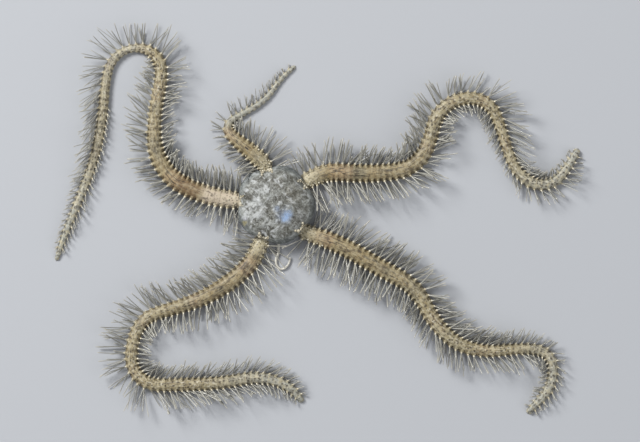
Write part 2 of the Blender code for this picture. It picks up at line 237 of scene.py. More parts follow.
# %% A finish in the making
class Finish:
    """A material in the making."""

    def __init__(self, name, **constants):
        self.material = bpy.data.materials.new(name)
        self.material.use_nodes = True
        self.tree = self.material.node_tree
        self.shader = self.tree.nodes["Principled BSDF"]
        for label, value in constants.items():
            self.shader.inputs[label.replace("_", " ")].default_value = value

    def feed(self, socket, value):
        if isinstance(value, Field):
            self.tree.links.new(value.socket, socket)
        else:
            socket.default_value = value

    def node(self, kind, settings=None, sockets=None, out=0):
        node = self.tree.nodes.new(kind)
        for key, value in (settings or {}).items():
            setattr(node, key, value)
        for key, value in (sockets or {}).items():
            self.feed(node.inputs[key], value)
        return Field(self, node.outputs[out])

    def mix(self, factor, first, second):
        return self.node("ShaderNodeMix", {"data_type": "RGBA"},
                         {0: factor, 6: first, 7: second}, 2)

    def layers(self, colour, *coats):
        """Lays coats over a colour, each given as (strength, tone)."""
        for strength, tone in coats:
            colour = self.mix(strength, colour, tone)
        return colour

    def vector(self, x, y, z=0.0):
        return self.node("ShaderNodeCombineXYZ", None, {0: x, 1: y, 2: z})

    def parts(self, vector):
        split = self.node("ShaderNodeSeparateXYZ", None, {0: vector})
        return [Field(self, output) for output in split.socket.node.outputs]

    def attribute(self, name):
        """The three numbers of a mesh attribute."""
        return self.parts(self.node("ShaderNodeAttribute", {"attribute_name": name}, None,
                                    "Vector"))

    def millimetres(self):
        """The point's own place, in millimetres."""
        place = self.node("ShaderNodeTexCoord", None, None, "Object")
        return self.node("ShaderNodeVectorMath", {"operation": "SCALE"},
                         {0: place, "Scale": 1 / MM})

    def noise(self, vector, scale, detail=2.0, roughness=0.5):
        return self.node("ShaderNodeTexNoise", None, {"Vector": vector, "Scale": scale,
                                                      "Detail": detail, "Roughness": roughness})

    def cells(self, vector, scale, feature="F1", dimensions="3D"):
        return self.node("ShaderNodeTexVoronoi",
                         {"feature": feature, "voronoi_dimensions": dimensions},
                         {"Vector": vector, "Scale": scale}, "Distance")

    def done(self, colour, height=None, depth=0.02):
        """Links what varies to the shader. A height is in shares of depth, in millimetres."""
        self.feed(self.shader.inputs["Base Color"], colour)
        if height is not None:
            bump = self.node("ShaderNodeBump", None, {"Strength": 1.0, "Distance": depth * MM,
                                                      "Height": height})
            self.feed(self.shader.inputs["Normal"], bump)
        return self.material


def paint(red, green, blue):
    """A colour as seen on a screen, from 0 to 255, made linear for the shader."""
    return tuple(((c / 255 + 0.055) / 1.055) ** 2.4 if c > 10 else c / 255 / 12.92
                 for c in (red, green, blue)) + (1.0,)


floor_finish = Finish("floor_grey", Base_Color=paint(172, 174, 177), Roughness=0.9)
floor.data.materials.append(floor_finish.material)

# %% [markdown]
# An arm is a string of joints, about 0.85 mm each, that shrink in width toward the tip. The solids
# follow routes made of arcs, so the same arcs are walked here: every arm leaves the disc on a
# bearing and turns by so many degrees over so many millimetres. The stations give the width, how
# far the spines reach in the picture on the arm's left and right, and how far they lean toward the
# tip. The width takes in the knobs at the arm's edges, so the skin is a little slimmer and leaves
# them their room. Under the disc the arm narrows on its way to the mouth, where it ends behind an
# orange pad.

# %% The arms' routes
MIDDLE = Vector((-6.43, 2.37, 0.0))
ARM_START, HIDDEN_START = 5.25, 3.25
JOINT = 0.85
ARC_STEP = 0.1
TIP_ROUNDING, TIP_LEAST = 0.7, 0.002
MOUTH_TAPER, MOUTH_SHARE = 1.5, 0.45
SKIN_SHARE = 0.93

# arcs of (mm, degrees to the left), and stations of (mm, width, reach left, reach right, lean)
ARMS = {
    "arm_1": {
        "bearing": 37,
        "arcs": ((1.2, -11), (1.0, -4), (2.8, -24), (2.4, -1), (6.2, 11), (5.5, 56), (3.3, 15),
                 (8.5, -91), (3.5, -53), (3.0, -10), (4.4, 8), (3.7, 35), (5.3, 83), (4.6, 14)),
        "stations": (
            (0, 2.4, 2.8, 3.4, -5), (3, 2.7, 3.1, 3.4, 15), (8, 2.75, 2.7, 3.0, 25),
            (13, 2.6, 2.3, 2.9, 35), (17, 2.4, 3.0, 3.3, 35), (21, 2.2, 3.3, 2.4, 35),
            (25, 2.1, 3.0, 1.5, 20), (29, 2.0, 2.5, 1.3, 25), (33, 1.9, 3.2, 1.8, 25),
            (37, 1.7, 3.3, 1.6, 35), (41, 1.6, 2.8, 1.0, 45), (46, 1.75, 1.4, 1.9, 35),
            (51, 1.6, 0.7, 2.0, 25), (54, 1.2, 0.9, 1.3, 25), (56.1, 0.9, 0.9, 1.0, 30),
        ),
    },
    "arm_2": {
        "bearing": 105,
        "arcs": ((1.0, 22), (1.0, 12), (4.3, 2), (1.3, -18), (2.2, -92), (3.3, -2), (4.2, 27),
                 (4.6, -20)),
        "stations": (
            (0, 2.1, 2.6, 3.0, 5), (2, 2.6, 2.4, 3.3, 15), (5, 2.3, 1.9, 2.6, 30),
            (7.5, 1.8, 1.9, 1.5, 30), (9.5, 1.1, 1.8, 0.4, 15), (13, 0.95, 1.6, 0.3, 35),
            (17, 0.85, 1.2, 0.3, 45), (21.9, 0.6, 0.9, 0.6, 40),
        ),
    },
    "arm_3": {
        "bearing": 174,
        "arcs": ((3.9, -7), (4.5, -15), (8.6, -61), (7.0, -14), (2.9, 16), (4.3, 76), (6.6, 87),
                 (3.5, 10), (3.5, -3), (10.0, -15), (7.0, 0), (4.7, 6)),
        "stations": (
            (0, 2.5, 3.3, 3.1, 5), (4, 2.8, 2.4, 3.0, 15), (9, 2.8, 2.3, 2.0, 25),
            (14, 2.5, 2.9, 1.9, 25), (20, 2.0, 3.2, 2.0, 25), (25, 2.0, 2.2, 2.6, 20),
            (29, 1.75, 0.6, 3.4, 10), (33, 1.2, 0.0, 3.5, 0), (38, 1.4, 0.0, 3.2, 30),
            (44, 1.5, 0.5, 3.2, 50), (52, 1.4, 0.7, 2.2, 50), (58, 1.25, 1.0, 1.0, 45),
            (63, 1.0, 0.8, 0.7, 45), (66.5, 0.6, 0.6, 0.6, 45),
        ),
    },
    "arm_4": {
        "bearing": 249,
        "arcs": ((1.0, -4), (1.7, -1), (2.5, -20), (9.0, -24), (4.0, -5), (2.0, 8), (3.0, 40),
                 (4.5, 29), (6.0, 88), (7.5, 3), (3.0, 7), (2.0, -1), (4.0, -22), (5.7, -47)),
        "stations": (
            (0, 2.3, 3.5, 3.0, 5), (3, 2.6, 3.6, 3.1, 10), (8, 2.6, 3.0, 2.8, 20),
            (14, 2.3, 2.7, 2.7, 25), (19, 2.0, 1.9, 3.4, 20), (24, 1.9, 1.6, 3.5, 15),
            (29, 1.9, 1.9, 3.3, 10), (34, 2.0, 2.1, 3.2, 30), (40, 1.95, 2.3, 2.7, 42),
            (46, 1.85, 2.3, 2.2, 45), (51, 1.6, 1.9, 1.6, 40), (54, 1.3, 1.1, 1.2, 35),
            (55.6, 0.9, 0.9, 1.0, 35),
        ),
    },
    "arm_5": {
        "bearing": 317,
        "arcs": ((1.2, 25), (3.0, -3), (5.0, -10), (6.5, 3), (5.5, -36), (5.5, 20), (4.0, 30),
                 (4.5, 21), (4.1, -8), (2.0, -25), (2.5, -58), (5.3, -51), (2.9, 4)),
        "stations": (
            (0, 2.3, 3.4, 3.0, -10), (4, 2.6, 3.0, 3.6, 5), (8, 2.75, 3.1, 3.2, 15),
            (14, 2.65, 3.0, 3.1, 20), (20, 2.4, 2.8, 2.6, 30), (26, 2.2, 3.1, 2.9, 35),
            (31, 2.0, 2.8, 2.4, 35), (36, 1.75, 2.2, 2.6, 35), (40, 1.6, 1.6, 2.0, 30),
            (44, 1.5, 1.1, 1.1, 30), (48, 1.5, 1.0, 1.2, 35), (51.6, 1.0, 0.9, 1.0, 35),
        ),
    },
}


class Route:
    """An arm's middle line on the floor. Distances are in mm from the disc's edge."""

    def __init__(self, number, arm):
        self.number, self.bearing = number, arm["bearing"]
        first, heading = ARM_START - HIDDEN_START, math.radians(self.bearing)
        x, y = MIDDLE.x + first * math.cos(heading), MIDDLE.y + first * math.sin(heading)
        distance = -HIDDEN_START
        rows = [(distance, x, y, heading)]
        for run, turn in ((HIDDEN_START, 0.0), *arm["arcs"]):
            steps = math.ceil(run / ARC_STEP)
            half_turn = math.radians(turn) / steps / 2
            for _ in range(steps):
                heading += half_turn
                x += run / steps * math.cos(heading)
                y += run / steps * math.sin(heading)
                heading += half_turn
                distance += run / steps
                rows.append((distance, x, y, heading))
        self.rows = np.array(rows)
        self.stations = np.array(arm["stations"])
        self.length = distance
        self.joints = round((distance + HIDDEN_START) / JOINT)
        self.pitch = (distance + HIDDEN_START) / self.joints

    def line(self, distance, column):
        return np.interp(distance, self.rows[:, 0], self.rows[:, column])

    def station(self, distance, column):
        return np.interp(distance, self.stations[:, 0], self.stations[:, column])

    def width(self, distance):
        """The skin's width, drawn in beside the mouth and rounded off over its last bit."""
        left = np.clip((self.length - distance) / TIP_ROUNDING, 0.0, 1.0)
        inside = np.clip((distance + HIDDEN_START) / MOUTH_TAPER, 0.0, 1.0)
        drawn_in = MOUTH_SHARE + (1 - MOUTH_SHARE) * np.sqrt(inside * (2 - inside))
        rounded = np.sqrt(1 - (1 - left) ** 2 + TIP_LEAST)
        return self.station(distance, 1) * SKIN_SHARE * drawn_in * rounded


routes = {name: Route(number, arm) for number, (name, arm) in enumerate(ARMS.items(), 1)}
for name, route in routes.items():
    print(name, "mm:", round(route.length, 1), "joints:", route.joints)
ARM_BEARINGS = [route.bearing for route in routes.values()]

# %% [markdown]
# All arm parts are modelled straight, one unit wide, and bent at the end. A cross section is a low
# arch on a flat sole. It helps to have a map of that arch: girth runs from 0 at the top of the arm,
# over the left side, to 1 at the middle of the sole, and down to -1 over the right side. A plate is
# then a flat patch whose points are sent to their joint, girth and lift above the skin.

# %% The arm's cross section
ARCH = np.array([(0.0, 0.765), (0.14, 0.75), (0.27, 0.7), (0.38, 0.61), (0.46, 0.48), (0.5, 0.32),
                 (0.485, 0.18), (0.41, 0.09), (0.3, 0.055), (0.15, 0.045), (0.0, 0.045)])
ARCH_CENTRE = 0.38
arch_steps = np.r_[0.0, np.cumsum(np.hypot(*np.diff(ARCH, axis=0).T))]
HALF_GIRTH = float(arch_steps[-1])
arch_shares = arch_steps / HALF_GIRTH
arch_angles = np.arctan2(ARCH[:, 0], ARCH[:, 1] - ARCH_CENTRE)
arch_angles[-1] = math.pi


def arch_point(share):
    return np.array([np.interp(share, arch_shares, ARCH[:, axis]) for axis in (0, 1)])


def on_arch(girth, lift=0.0):
    """Across and up, in widths, at a girth and at a lift above the arch."""
    share = abs(girth)
    across, up = (float(value) for value in arch_point(share))
    before, after = (arch_point(np.clip(share + step, 0, 1)) for step in (-0.05, 0.05))
    along = (after - before) / np.linalg.norm(after - before)
    side = 1 if girth >= 0 else -1
    return side * (across - along[1] * lift), up + along[0] * lift


def girth_of(across, up):
    """The girth of points of a straight arm, one unit wide."""
    angle = np.arctan2(np.abs(across), up - ARCH_CENTRE)
    return np.where(across < 0, -1.0, 1.0) * np.interp(angle, arch_angles, arch_shares)


print("half girth in widths:", round(HALF_GIRTH, 3))

# %% [markdown]
# One joint of skin is an open cylinder, laid along X and subdivided along its length. Its points go
# to the arch, with a waist where two joints meet. Under the sole, each joint has a pair of pores
# for the tube feet: the faces there are inset and pushed in, and get a dark finish of their own.

# %% One joint of skin
SKIN_SIDES = 24
SKIN_RINGS = 6
WAIST = 0.06
SKIN_SHRINK = 0.02
PORE_GIRTH, PORE_HALF = 0.875, 0.045
PORE_START, PORE_END = 0.45 * JOINT, 0.85 * JOINT
PORE_STEPS = ((0.018, 0.03), (0.012, 0.04))

skin_joint = added(bpy.ops.mesh.primitive_cylinder_add, vertices=SKIN_SIDES, radius=0.5,
                   depth=JOINT, end_fill_type="NOTHING", location=(JOINT / 2, 0, 0),
                   rotation=(0, math.pi / 2, 0))
settled(skin_joint)


def lengthwise(edge):
    first, second = (skin_joint.data.vertices[v].co for v in edge.vertices)
    return abs(first.x - second.x) > JOINT / 2


pick(skin_joint, "EDGE", lengthwise)
bpy.ops.mesh.subdivide(number_cuts=SKIN_RINGS - 1)
edited()


def to_skin(point):
    """From the plain cylinder to the arch with its waists."""
    girth = math.atan2(point.y, point.z) / math.pi
    across, up = on_arch(girth)
    waist = WAIST * (1 + math.cos(2 * math.pi * point.x / JOINT)) / 2
    fullness = 1 - waist - SKIN_SHRINK
    return Vector((point.x, across * fullness, ARCH_CENTRE + (up - ARCH_CENTRE) * fullness))


moved(skin_joint, to_skin)


def over_pore(face):
    girth = girth_of(np.array([face.center.y]), np.array([face.center.z]))[0]
    return abs(abs(girth) - PORE_GIRTH) < PORE_HALF and PORE_START < face.center.x < PORE_END


pick(skin_joint, "FACE", over_pore)
for rim, depth in PORE_STEPS:
    bpy.ops.mesh.inset(thickness=rim, depth=-depth)
edited()
pore_faces = [face.index for face in skin_joint.data.polygons if face.select]
for _ in range(2):
    skin_joint.data.materials.append(None)
for index in pore_faces:
    skin_joint.data.polygons[index].material_index = 1
print("skin joint faces:", len(skin_joint.data.polygons), "pore faces:", len(pore_faces))

# %% [markdown]
# The plates are what makes the arm look jointed. Each joint has a fan-shaped plate on top, a ridged
# plate on each side with a knob that carries the topmost spine, and a bright shield on the sole.
# Each is a grid that is bent over the arch and thickened inward with Solidify. A patch can come out
# of the bending with its faces inward, so its normals are turned first, or the wall would grow the
# wrong way. The far edge stands a little proud of the next joint, as roof tiles do.

# %% The plates of one joint
def joined(objects):
    nothing_selected()
    for obj in objects:
        obj.select_set(True)
    bpy.context.view_layer.objects.active = objects[0]
    bpy.ops.object.join()
    return objects[0]


def triangles(obj):
    return sum(len(face.vertices) - 2 for face in obj.data.polygons)


def faced_outward(obj):
    """Turns all faces of a closed shape outward."""
    editing(obj)
    bpy.ops.mesh.normals_make_consistent(inside=False)
    edited()
    return obj


def thickened(patch, thickness, outward):
    """Gives a curved patch its thickness, inward. outward(face) points out of the animal."""
    if sum(face.normal.dot(outward(face)) for face in patch.data.polygons) < 0:
        patch.data.flip_normals()
    applied(patch, "SOLIDIFY", thickness=thickness, offset=-1.0)
    return faced_outward(patch)


def grid(columns, rows):
    return added(bpy.ops.mesh.primitive_grid_add, x_subdivisions=columns, y_subdivisions=rows,
                 size=2.0)


def plate(columns, rows, outline, thickness, crown):
    """A patch. outline(u, v) gives joint share, girth and lift for u, v in -1..1."""
    patch = grid(columns, rows)

    def place(point):
        share, girth, lift = outline(point.x, point.y)
        dome = crown * (1 - point.x ** 2) * (1 - point.y ** 2)
        across, up = on_arch(girth, lift + dome)
        return Vector((share * JOINT, across, up))

    moved(patch, place)
    return thickened(patch, thickness,
                     lambda face: Vector((0.0, face.center.y, face.center.z - ARCH_CENTRE)))


def upper_outline(u, v):
    """A fan: narrow where it meets the joint before, broad and rounded at its far edge."""
    share = 0.5 + 0.55 * u - 0.14 * v * v * (0.4 + 0.6 * u)
    half = 0.25 + 0.06 * math.sin(math.pi * (u + 1) / 2.6)
    return share, half * v, 0.004 + 0.006 * (u + 1)


SIDE_GIRTH, SIDE_HALF = 0.5, 0.23
RIDGE_PLACE = 0.3
KNOB_SHARE = 0.66


def side_lift(u, v):
    """A side plate's ridge and, at its upper end, the knob that carries the topmost spine."""
    ridge = math.exp(-((u - RIDGE_PLACE) / 0.4) ** 2)
    knob = math.exp(-((u - RIDGE_PLACE) / 0.34) ** 2 - ((v + 0.6) / 0.34) ** 2)
    return 0.045 * ridge + 0.06 * knob


def side_outline(side):
    def outline(u, v):
        share = 0.52 + 0.46 * u - 0.06 * v * v * u
        girth = SIDE_GIRTH + SIDE_HALF * v * (1 - 0.12 * u * u)
        return share, side * girth, side_lift(u, v)
    return outline


def sole_outline(u, v):
    """A rounded shield across the middle of the sole, waisted beside the pores."""
    half = 0.115 - 0.03 * math.exp(-((u - 0.45) / 0.3) ** 2) - 0.035 * u ** 4
    girth = 1.0 - half * abs(v)
    return 0.5 + 0.45 * u - 0.05 * u * v * v, girth if v >= 0 else -girth, 0.016


upper_plate = plate(5, 6, upper_outline, thickness=0.035, crown=0.008)
side_plates = joined([plate(7, 7, side_outline(side), thickness=0.05, crown=0.012)
                      for side in (1, -1)])
sole_plate = plate(6, 6, sole_outline, thickness=0.03, crown=0.016)
for shape in (upper_plate, side_plates, sole_plate):
    print("plate triangles:", triangles(shape))

# %% [markdown]
# A straight arm is an Array of one joint, and a Curve modifier bends it along its route. The
# curve's radius is the arm's width, so one modifier does the bending and the taper. Before the bend
# each point keeps its straight address in an attribute: joint number, girth and width. The finishes
# read it, so that streaks and bands follow the arm round its bends. A second one keeps the arm's
# number, the way left to the tip, and the girth without its sign, because on the middle line of the
# sole the signed girth jumps from 1 to -1, and a colour blended across that jump would show a
# stripe.

# %% Bending a straight arm
ROUTE_STEP = 0.25
MERGE_DISTANCE = 0.003


def points_of(obj):
    """A mesh's points, one to a row."""
    flat = np.empty(len(obj.data.vertices) * 3, np.float32)
    obj.data.vertices.foreach_get("co", flat)
    return flat.reshape(-1, 3)


def keep(mesh, name, rows):
    """Keeps three numbers for each point, as an attribute that finishes can read."""
    attribute = mesh.attributes.new(name, "FLOAT_VECTOR", "POINT")
    attribute.data.foreach_set("vector", np.asarray(rows, np.float32).ravel())


def guide(route):
    """The arm's route as a curve that a modifier can follow."""
    curve = bpy.data.curves.new("route", "CURVE")
    curve.dimensions, curve.twist_mode = "3D", "Z_UP"
    curve.use_radius, curve.use_stretch, curve.use_deform_bounds = True, False, False
    count = math.ceil((route.length + HIDDEN_START) / ROUTE_STEP)
    distances = np.linspace(-HIDDEN_START, route.length, count + 1)
    spline = curve.splines.new("POLY")
    spline.points.add(count)
    for point, distance in zip(spline.points, distances):
        point.co = (route.line(distance, 1), route.line(distance, 2), 0.0, 1.0)
        point.radius = route.width(distance)
    return linked("route", curve)


def addressed(obj, route):
    """Keeps each point's straight address before the arm is bent."""
    along, across, up = points_of(obj).T
    girth = girth_of(across, up)
    keep(obj.data, "address", np.column_stack([along / route.pitch, girth,
                                               route.station(along - HIDDEN_START, 1)]))
    left = route.length + HIDDEN_START - along
    numbers = np.full(len(girth), route.number)
    keep(obj.data, "arm", np.column_stack([numbers, left, np.abs(girth)]))


def on_route(master, route, merge=False):
    """One whole arm of copies of a joint."""
    arm = linked(master.name, master.data.copy())
    stretch = route.pitch / JOINT
    moved(arm, lambda point: Vector((point.x * stretch, point.y, point.z)))
    applied(arm, "ARRAY", count=route.joints, use_relative_offset=False,
            use_constant_offset=True, constant_offset_displace=(route.pitch, 0.0, 0.0),
            use_merge_vertices=merge, merge_threshold=MERGE_DISTANCE)
    addressed(arm, route)
    applied(arm, "CURVE", object=guides[route.number], deform_axis="POS_X")
    return arm


guides = {route.number: guide(route) for route in routes.values()}
arm_skins = [on_route(skin_joint, route, merge=True) for route in routes.values()]
for arm_skin in arm_skins:
    editing(arm_skin, "EDGE", "DESELECT")
    bpy.ops.mesh.select_non_manifold(extend=False)
    bpy.ops.mesh.edge_face_add()
    edited()
upper_plates, side_plates_all, sole_plates = (
    joined([on_route(master, route) for route in routes.values()])
    for master in (upper_plate, side_plates, sole_plate))
print("arm skins:", [triangles(arm_skin) for arm_skin in arm_skins])

# %% [markdown]
# The disc is a soft bag with five lobes and a notch over each arm's root. A UV sphere gives clean
# rings round its middle. Each point is sent out to the lobed edge, and then the back gets its
# relief: ten radial shields under the skin, furrows between them, and a loose rumpled surface.

# %% The disc
NOTCH_RADIUS = 4.95
LOBE_RADIUS = 5.75
LOBE_FULLNESS = 0.7
LOBE_BEARINGS = (69, 141, 213, 285, 357)
DISC_TOP = 4.2
DISC_RIM = 2.1
LOBE_UNDERSIDE = 0.5
DISC_SEGMENTS, DISC_RINGS = 160, 80
RELIEF_INNER, RELIEF_OUTER, RELIEF_HALF = 0.28, 0.93, math.radians(30)
SHIELD_RISE, WRINKLES, FINE_WRINKLES, RELIEF_SINK = 0.04, 0.11, 0.08, 0.1
BELLY_FOLDS = 0.08


def lobe_wave(bearing):
    """0 at the arms and 1 at the middles of the lobes."""
    return abs(math.cos(2.5 * (bearing - math.radians(LOBE_BEARINGS[0]))))


def lobe_radius(bearing):
    """How far the disc reaches on a bearing, in radians."""
    return NOTCH_RADIUS + (LOBE_RADIUS - NOTCH_RADIUS) * lobe_wave(bearing) ** LOBE_FULLNESS


def from_arm(bearing):
    """Radians from a bearing to the nearest arm."""
    offsets = [(bearing - math.radians(arm) + math.pi) % (2 * math.pi) - math.pi
               for arm in ARM_BEARINGS]
    return min(offsets, key=abs)


def ripple(reach, bearing, scale, seed):
    """Smooth noise over the disc's back."""
    return noise.noise(Vector((reach * scale * math.cos(bearing),
                               reach * scale * math.sin(bearing), seed)))


def disc_relief(reach, bearing):
    """The back's relief in mm: shields, furrows and folds."""
    off = abs(from_arm(bearing))
    along = (reach - RELIEF_INNER) / (RELIEF_OUTER - RELIEF_INNER)
    half = RELIEF_HALF * min(1.0, max(0.0, along)) ** 0.8
    inside = 0.0
    if 0 < along < 1 and half > 0:
        across = (off - half * 0.5) / (half * 0.5)
        inside = max(0.0, 1 - across ** 2) * min(1.0, along * 4) * min(1.0, (1 - along) * 6)
    return (SHIELD_RISE * inside + WRINKLES * ripple(reach, bearing, 7, 1.3)
            + FINE_WRINKLES * ripple(reach, bearing, 18, 7.7) - RELIEF_SINK)


def about_middle(radius, bearing, height):
    """A point at a radius and a bearing, in radians, from the disc's middle."""
    return Vector((MIDDLE.x + radius * math.cos(bearing), MIDDLE.y + radius * math.sin(bearing),
                   height))


def on_disc(reach, bearing, lift=0.0):
    """A point on the disc's back. reach is the share of the way from the middle to the edge."""
    height = DISC_RIM + (DISC_TOP - DISC_RIM) * math.sqrt(max(0.0, 1 - reach ** 2))
    relief = disc_relief(reach, bearing) * (1 - reach ** 6)
    return about_middle(lobe_radius(bearing) * reach, bearing, height + lift + relief)


def to_disc(point):
    """From the plain sphere to the lobed disc."""
    reach, bearing = min(1.0, math.hypot(point.x, point.y)), math.atan2(point.y, point.x)
    if point.z >= 0:
        return on_disc(reach, bearing)
    fold = BELLY_FOLDS * noise.noise(Vector((point.x * 6, point.y * 6, 3.1)))
    belly = (DISC_RIM - LOBE_UNDERSIDE - BELLY_FOLDS - fold) * point.z
    return about_middle(lobe_radius(bearing) * reach, bearing, DISC_RIM + belly)


disc = added(bpy.ops.mesh.primitive_uv_sphere_add, segments=DISC_SEGMENTS,
             ring_count=DISC_RINGS, radius=1.0)
moved(disc, to_disc)
print("disc triangles:", triangles(disc))

# %% [markdown]
# The shields themselves are limy plates that show through the skin as paler three-cornered fields
# with light edges. Each is a grid bent over the disc, with its outer end broad at the arm and its
# inner end drawn to a point, and thickened so that its rim catches the light.

# %% The radial shields
SHIELD_INNER, SHIELD_OUTER = 0.3, 0.92
SHIELD_GAP, SHIELD_LIFT, SHIELD_THICKNESS = math.radians(1.6), 0.03, 0.06


def radial_shield(arm_bearing, side):
    patch = grid(14, 8)

    def place(point):
        along = (point.x + 1) / 2
        reach = SHIELD_INNER + (SHIELD_OUTER - SHIELD_INNER) * along - 0.05 * point.y ** 2 * along
        half = math.radians(1.5 + 13.0 * along ** 0.8)
        bearing = math.radians(arm_bearing) + side * (SHIELD_GAP + half * (1 + point.y))
        rim = max(abs(point.x), abs(point.y))
        return on_disc(reach, bearing, SHIELD_LIFT - 0.012 * rim ** 4)

    keep(patch.data, "patch", points_of(patch))
    moved(patch, place)
    return thickened(patch, SHIELD_THICKNESS, lambda face: Vector((0, 0, 1)))


shields = joined([radial_shield(arm, side) for arm in ARM_BEARINGS for side in (1, -1)])
print("shield triangles:", triangles(shields))

# %% [markdown]
# A spine is a slim glassy rod on a white bulb, the joint that it swings on. It starts as a
# six-sided circle, and its cap is extruded and resized ring by ring, as a turner would copy a
# profile. Only the shaft is stretched when a spine is made longer, so the bulbs all keep one size.

# %% One spine
BULB_HEIGHT = 0.3
# (height, radius), for a spine of length 1
SPINE_PROFILE = ((0.0, 0.1), (0.07, 0.165), (0.19, 0.165), (BULB_HEIGHT, 0.09), (0.45, 0.105),
                 (0.7, 0.095), (0.88, 0.1), (0.97, 0.095), (1.0, 0.05))


def ring_by_ring(rings):
    """Extrudes what is selected from ring to ring, each (height, radius), about the Z axis."""
    height, radius = rings[0]
    for next_height, next_radius in rings[1:]:
        rise, size = next_height - height, next_radius / radius
        bpy.ops.mesh.extrude_region_move(TRANSFORM_OT_translate={"value": (0, 0, rise)})
        bpy.ops.transform.resize(value=(size, size, 1.0), center_override=(0, 0, next_height))
        height, radius = next_height, next_radius


def turned(profile, sides):
    """A rod along Z with rings of (height, radius), closed at both ends."""
    rod = added(bpy.ops.mesh.primitive_circle_add, vertices=sides, radius=profile[0][1],
                fill_type="NGON")
    editing(rod)
    ring_by_ring(profile)
    edited()
    return faced_outward(rod)


spine = turned(SPINE_PROFILE, sides=6)
print("spine triangles:", triangles(spine))

# %% [markdown]
# Thousands of spines are placed by arithmetic, not by hand. For each copy the rule is: a root on
# the side plate, a direction, a length and a slight bend. All copies of an arm become one mesh.
# Each spine also gets a tiny patch of the map OFBake at its root's place on the unrolled arm, and
# an attribute with its height, its share of the length and a tone of its own, which the finish
# reads.

# %% Copies of a rod in one mesh
PATCH = 0.003


def rods(name, master, plan, fixed):
    """One mesh of many copies of a rod. None is stretched below the height fixed.

    A row of the plan is root, direction, length, girth scale, bend, u, v and tone.
    """
    local = points_of(master).astype(float)
    count = len(local)
    faces = [list(face.vertices) for face in master.data.polygons]
    turn = np.arctan2(local[:, 1], local[:, 0]) / (2 * math.pi) + 0.5
    points, heights = [], []
    for root, direction, length, scale, bend, _, _, tone in plan:
        matrix = np.array(Vector(direction).to_track_quat("Z", "Y").to_matrix())
        height = np.minimum(local[:, 2], fixed) * scale
        shaft = np.maximum(local[:, 2] - fixed, 0) / (1 - fixed)
        height = height + shaft * max(0.05, length - fixed * scale)
        share = height / max(length, 1e-6)
        x = local[:, 0] * scale + bend[0] * share ** 2 * length
        y = local[:, 1] * scale + bend[1] * share ** 2 * length
        points.append(np.column_stack([x, y, height]) @ matrix.T + np.array(root))
        heights.append(np.column_stack([height, share, np.full(count, tone)]))
    mesh = bpy.data.meshes.new(name)
    everything = [[v + i * count for v in face] for i in range(len(plan)) for face in faces]
    mesh.from_pydata(np.concatenate(points), [], everything)
    keep(mesh, "rod", np.concatenate(heights))
    corners = np.array([v for face in faces for v in face])
    shares = (local[:, 2] / local[:, 2].max())[corners]
    patches = [np.column_stack([u + PATCH * shares, v + PATCH * turn[corners]])
               for *_, u, v, _ in plan]
    layer = mesh.uv_layers.new(name="OFBake")
    layer.data.foreach_set("uv", np.concatenate(patches).astype(np.float32).ravel())
    mesh.update()
    return linked(name, mesh)


# %% [markdown]
# A spine starts at a place on the arm, given by distance and girth, and points on a bearing and
# above the floor. Not every way is free: one that would leave the solids' box is made shorter, none
# goes through the floor, and one that would end in the disc is left out, as are most that would end
# in the tube foot's loop.

# %% Where a spine can go
FOOT_BEARING = 274
FOOT_LOOP = MIDDLE + Matrix.Rotation(math.radians(FOOT_BEARING), 3, "Z") @ Vector((8.4, 0.6, 0.0))
FOOT_CLEAR, FOOT_CLEARED = 1.7, 0.65
DISC_CLEAR = 0.15
FLOOR_ROOM, BULB_ROOM, BOX_ROOM = 0.2, 0.21, 0.27
BOX_LOW = np.array(cad_low) / MM + BOX_ROOM
BOX_HIGH = np.array(cad_high) / MM - BOX_ROOM


def arm_place(route, distance, girth, lift=0.0):
    """A point on an arm's surface, and the arm's heading there."""
    across, up = on_arch(girth, lift)
    width = float(route.width(distance))
    heading = float(route.line(distance, 3))
    side = Vector((-math.sin(heading), math.cos(heading), 0.0))
    point = Vector((float(route.line(distance, 1)), float(route.line(distance, 2)), up * width))
    return point + side * across * width, heading


def aimed(bearing, rise):
    """The direction on a bearing and above the floor, both in radians."""
    return Vector((math.cos(bearing) * math.cos(rise), math.sin(bearing) * math.cos(rise),
                   math.sin(rise)))


def rise_to(height, root, length, most):
    """How steeply, in radians, a rod has to rise for its tip to be at a height."""
    return math.asin(max(-most, min(most, (height - root.z) / length)))


def on_map(route, distance, girth):
    """A root's place on the map OFBake: the arm, unrolled."""
    u = 0.01 + 0.97 * (distance + HIDDEN_START) / (route.length + HIDDEN_START)
    return u, 0.02 + 0.95 * (girth + 1) / 2


def kept_inside(root, direction, length):
    """The length that stays in the solids' box."""
    for axis in range(3):
        if abs(direction[axis]) > 1e-6:
            wall = BOX_HIGH[axis] if direction[axis] > 0 else BOX_LOW[axis]
            length = min(length, (wall - root[axis]) / direction[axis])
    return length


def over_disc(point):
    """Whether a point lies over or under the disc, or nearly."""
    out = point - MIDDLE
    return math.hypot(out.x, out.y) < lobe_radius(math.atan2(out.y, out.x)) + DISC_CLEAR


def meets_disc(root, tip):
    """Whether the outer half of a spine lies over or under the disc."""
    return any(over_disc(root.lerp(tip, share)) for share in (0.5, 0.75, 1.0))


# %% [markdown]
# On each joint the spines stand in a row up the side plate: the upper ones point up and out, the
# lower ones lie near the floor, and the lowest are short. Reach and lean come from the arm's
# stations, with a good deal of chance added, as no two real spines match. They get finer with the
# arm and shorter at its tip.

# %% Spines of every arm
draw = random.Random(11)
# girth of the root, share of the reach, tilt above the floor, fan toward the tip
SPINE_ROWS = ((0.37, 1.0, 36, -8), (0.43, 1.16, 24, 3), (0.485, 1.2, 12, 10), (0.54, 1.04, 2, -4),
              (0.60, 0.82, -6, 5), (0.67, 0.45, -10, -4))
